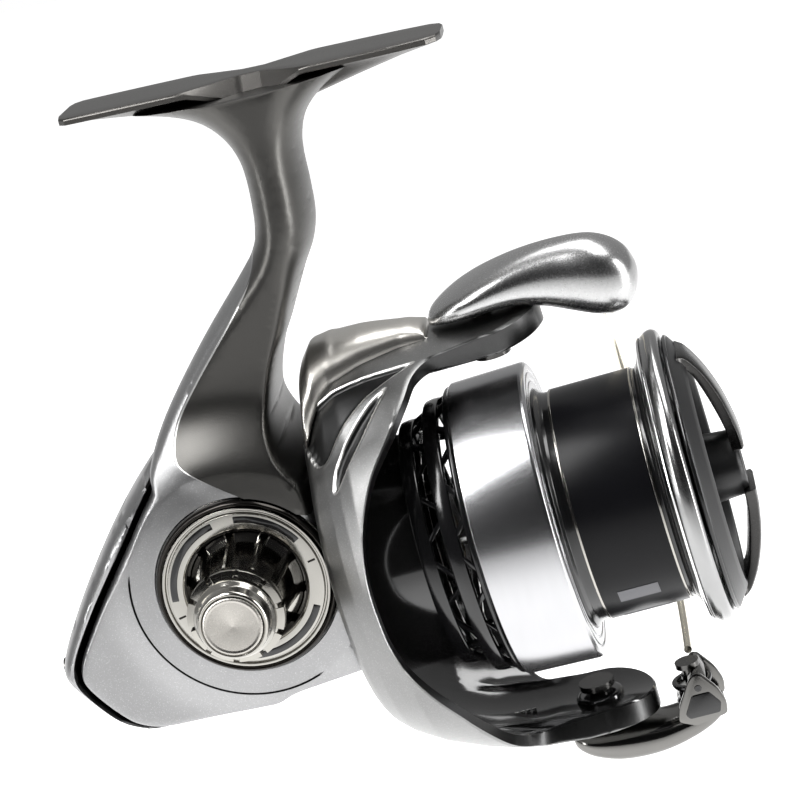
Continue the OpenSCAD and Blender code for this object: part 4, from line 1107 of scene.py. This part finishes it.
def make_spool():
    for name, slot_name, material, nodes, soft, corner, profile in (
        ("spool_skirt", "spool_metal", "skirt_metal", ["spool"], 0.1, 3,
            [(15.2, 20.2), (15.2, 21.4), (15.6, 21.75), (25.9, 22), (26.3, 21.9), (26.7, 21.4), (26.7, 20.6),
            (26.45, 20.5), (26.45, 20.3), (26.7, 20.2), (26.7, 19.3), (26.5, 19.2), (26.5, 19), (26.7, 18.9),
            (26.7, 17.9), (26.3, 17.6), (24.4, 17.6), (24.4, 20.2)]),
        ("spool_core", "spool_metal", "gloss_black", (), 0.12, 3,
            [(22.4, 6), (31, 6), (31, 14.6), (24.5, 14.6), (24.5, 17.8), (26.2, 17.8), (27, 17.7),
            (27.5, 17.1), (28, 16.9), (28.9, 16.86), (41.5, 16.86), (42.1, 17.6), (42.35, 18.5), (45.3, 18.5),
            (45.3, 11.7), (35.4, 11.7), (35.4, 10.5), (34.2, 10.5), (34.2, 2.7), (22.4, 2.7)]),
        ("lip_ring", "lip_metal", "lip_metal", ["spool_lip"], 0.4, 6,
            [(42.43, 18.75), (42.9, 20.2), (43.4, 20.8), (44.3, 21.45), (45.1, 21.6), (45.8, 21.3),
            (46.15, 20.7), (46.15, 19), (45.6, 18.7)]),
        ("lip_edge", "lip_metal", "edge_line", (), 0.06, 3, [(42.75, 20.3), (42.95, 20.75), (43.25, 20.95),
            (43.3, 20.75), (43, 20.2)]),
        ("arbor_label", "label_black", "label_film", ["arbor_wrap"], 0.03, 3,
            [(29.15, 16.93), (29.15, 17.1), (40.75, 17.1), (40.75, 16.93)])):
        turned(name, profile, "spool", slot_name, material, nodes=nodes, soft=soft, corner=corner)
    for i, x in enumerate((28.9, 40.7)):
        turned(f"arbor_line_{i}", [(x, 16.9), (x, 17.16), (x + 0.34, 17.16), (x + 0.34, 16.9)], "spool",
            "spool_metal", "nickel", (), soft=0.06)
    for i, (angle, x0, x1) in enumerate(((-66, 31, 37.8), (-36, 31.6, 37.4))):
        half, r = 4.4, 17.1
        verts = []
        for k in range(9):
            a = radians(angle + half * (k / 4 - 1))
            for x in (x0, x1):
                for rr in (r, r + 0.06):
                    verts.append((x, rr * sin(a - pi / 2), rr * cos(a - pi / 2)))
        faces = []
        for k in range(8):
            a, b = 4 * k, 4 * k + 4
            faces += [(a, a + 2, b + 2, b), (a + 1, b + 1, b + 3, a + 3), (a, b, b + 1, a + 1),
                (a + 2, a + 3, b + 3, b + 2)]
        faces += [(0, 1, 3, 2), (32, 34, 35, 33)]
        build(f"label_bar_{i}", verts, faces, "spool", "label_tape")
    for name, x, r, thick in (("rear", 7.0, 18.1, 1.0), ("middle", 11.2, 20.15, 1.5),
            ("front", 14.55, 21.2, 2.0)):
        wide = 0.65 if name == "front" else 2.2
        turned(f"frame_ring_{name}", [(x, r - thick), (x, r), (x + wide * 0.5, r + 0.18),
            (x + wide, r + 0.12), (x + wide, r - thick)], "spool", "black_frame", "gloss_black",
            ["skirt_frame"] if name == "rear" else (), soft=0.3)
    make_struts()


def make_struts():
    """The slanted bars between the rings, as one mesh."""
    verts, faces = [], []
    bars = 12
    for i in range(bars):
        for s in (-1, 1):
            for x0, r0, x1, r1, skew in ((8.7, 17.55, 11.8, 19.3, 4.6), (12.9, 19.6, 15, 20.5, 3.4)):
                ends = []
                for x, r, turn in ((x0, r0, i * 30 + s * 11), (x1, r1, i * 30 + s * (11 - skew * 2))):
                    a = radians(turn)
                    for da in (-0.024, 0.024):
                        for dr in (-0.45, 0.45):
                            ends.append((x, (r + dr) * sin(a + da), (r + dr) * cos(a + da)))
                base = len(verts)
                verts += ends
                for f in ((0, 1, 3, 2), (4, 6, 7, 5), (0, 4, 5, 1), (2, 3, 7, 6), (0, 2, 6, 4), (1, 5, 7, 3)):
                    faces.append(tuple(base + k for k in f))
    build("frame_struts", verts, faces, "spool", "gloss_black", bevel=0.12)


def make_knob():
    for name, material, nodes, soft, profile in (
        ("knob_ring", "satin_black", ["drag_knob"], 0.2, [(46.4, 16.4), (46.4, 19.95), (46.75, 20.2),
            (47.2, 19.95), (48.6, 17.9), (49, 17), (48.9, 16.4)]),
        ("knob_ring_edge", "gloss_black", (), 0.08, [(46.6, 19.9), (46.6, 20.24), (46.85, 20.3), (47.1, 20.2),
            (47.1, 19.9)]),
        ("knob_floor", "satin_black", (), 0.2, [(44.3, 1.6), (44.3, 8.9), (46.5, 9.2), (46.5, 17.2),
            (47.5, 17.2), (47.5, 1.6)])):
        turned(name, profile, "knob", "knob_black", material, nodes=nodes, soft=soft)

    def hub(a, k, along, r):
        return along, r * (1 + 0.05 * cos(4 * a)) if r > 3 else r

    turned("knob_hub", [(47.3, 1.6), (47.3, 5), (52.2, 4.6), (52.9, 4.1), (52.9, 2.4), (51.8, 2.1),
        (51.8, 1.6)], "knob", "knob_black", "satin_black", (), soft=0.2, wave=hub)
    for i, s in enumerate((1, -1)):
        # an arched grip: a thin bridge from the ring over the nose to the hub
        outer = smooth_open([(48.2, 18.7), (49.4, 17.9), (51.1, 15), (52.6, 10.8), (53.5, 6.2), (53.75, 3.2)],
            5)
        inner = smooth_open([(48, 16.9), (48.7, 16.4), (49.7, 14.6), (50.9, 10.6), (51.8, 6.4), (52, 3.2)], 5)
        rows = []
        for q, (o, n) in enumerate(zip(outer, inner)):
            t = q / (len(outer) - 1)
            half = 4.6 - 1.3 * sin(pi * t) ** 0.8
            rows.append((o, n, half))
        verts = []
        for o, n, half in rows:
            for x, r, y in ((o[0], o[1], -half * 0.8), (o[0] - 0.25, o[1] - 0.1, -half), (n[0], n[1], -half),
                    (n[0], n[1], half), (o[0] - 0.25, o[1] - 0.1, half), (o[0], o[1], half * 0.8)):
                verts.append((x, y * s, r * s))
        faces = tube_faces(len(rows), 6)
        build(f"knob_arch_{i}", verts, faces, "knob", "arch_metal",
            ["knob_arches"] if i == 0 else (), bevel=0.2, segments=3, limit=25)


make_spool()
make_knob()


# ---- handle ---------------------------------------------------------------------------

def make_handle():
    softened("crank_arm", ["handle_arm"], 0.3, 5, "crank", "handle_metal")
    softened("grip_shell", ["handle_knob"], 0.35, 5, "grip", "grip_rubber")
    softened("grip_cap", ["knob_cap"], 0.2, 4, "grip", "handle_metal")
    softened("left_cap_shell", ["left_bearing_cap"], 0.25, 3, "body", "handle_metal")


make_handle()

FINISH = {"plate_nickel": "nickel", "steel": "bright_steel", "screw_steel": "screw_steel",
    "spring_steel": "bright_steel", "gear_alloy": "gear_alloy", "gear_brass": "gear_brass",
    "gear_plastic": "nylon", "seal_rubber": "seal_rubber", "drag_felt": "drag_felt",
    "clip_black": "gloss_black", "roller_black": "gloss_black",}
SLOTS = {s["node"]: s["material_slot"] for s in frame["record"]["subparts"]}
for name, node in NODES.items():
    if not node.hide_render:
        material = M[FINISH.get(SLOTS[name], "handle_metal")]
        for i in range(max(1, len(node.material_slots))):
            if node.material_slots:
                node.material_slots[i].material = material
            else:
                node.data.materials.append(material)
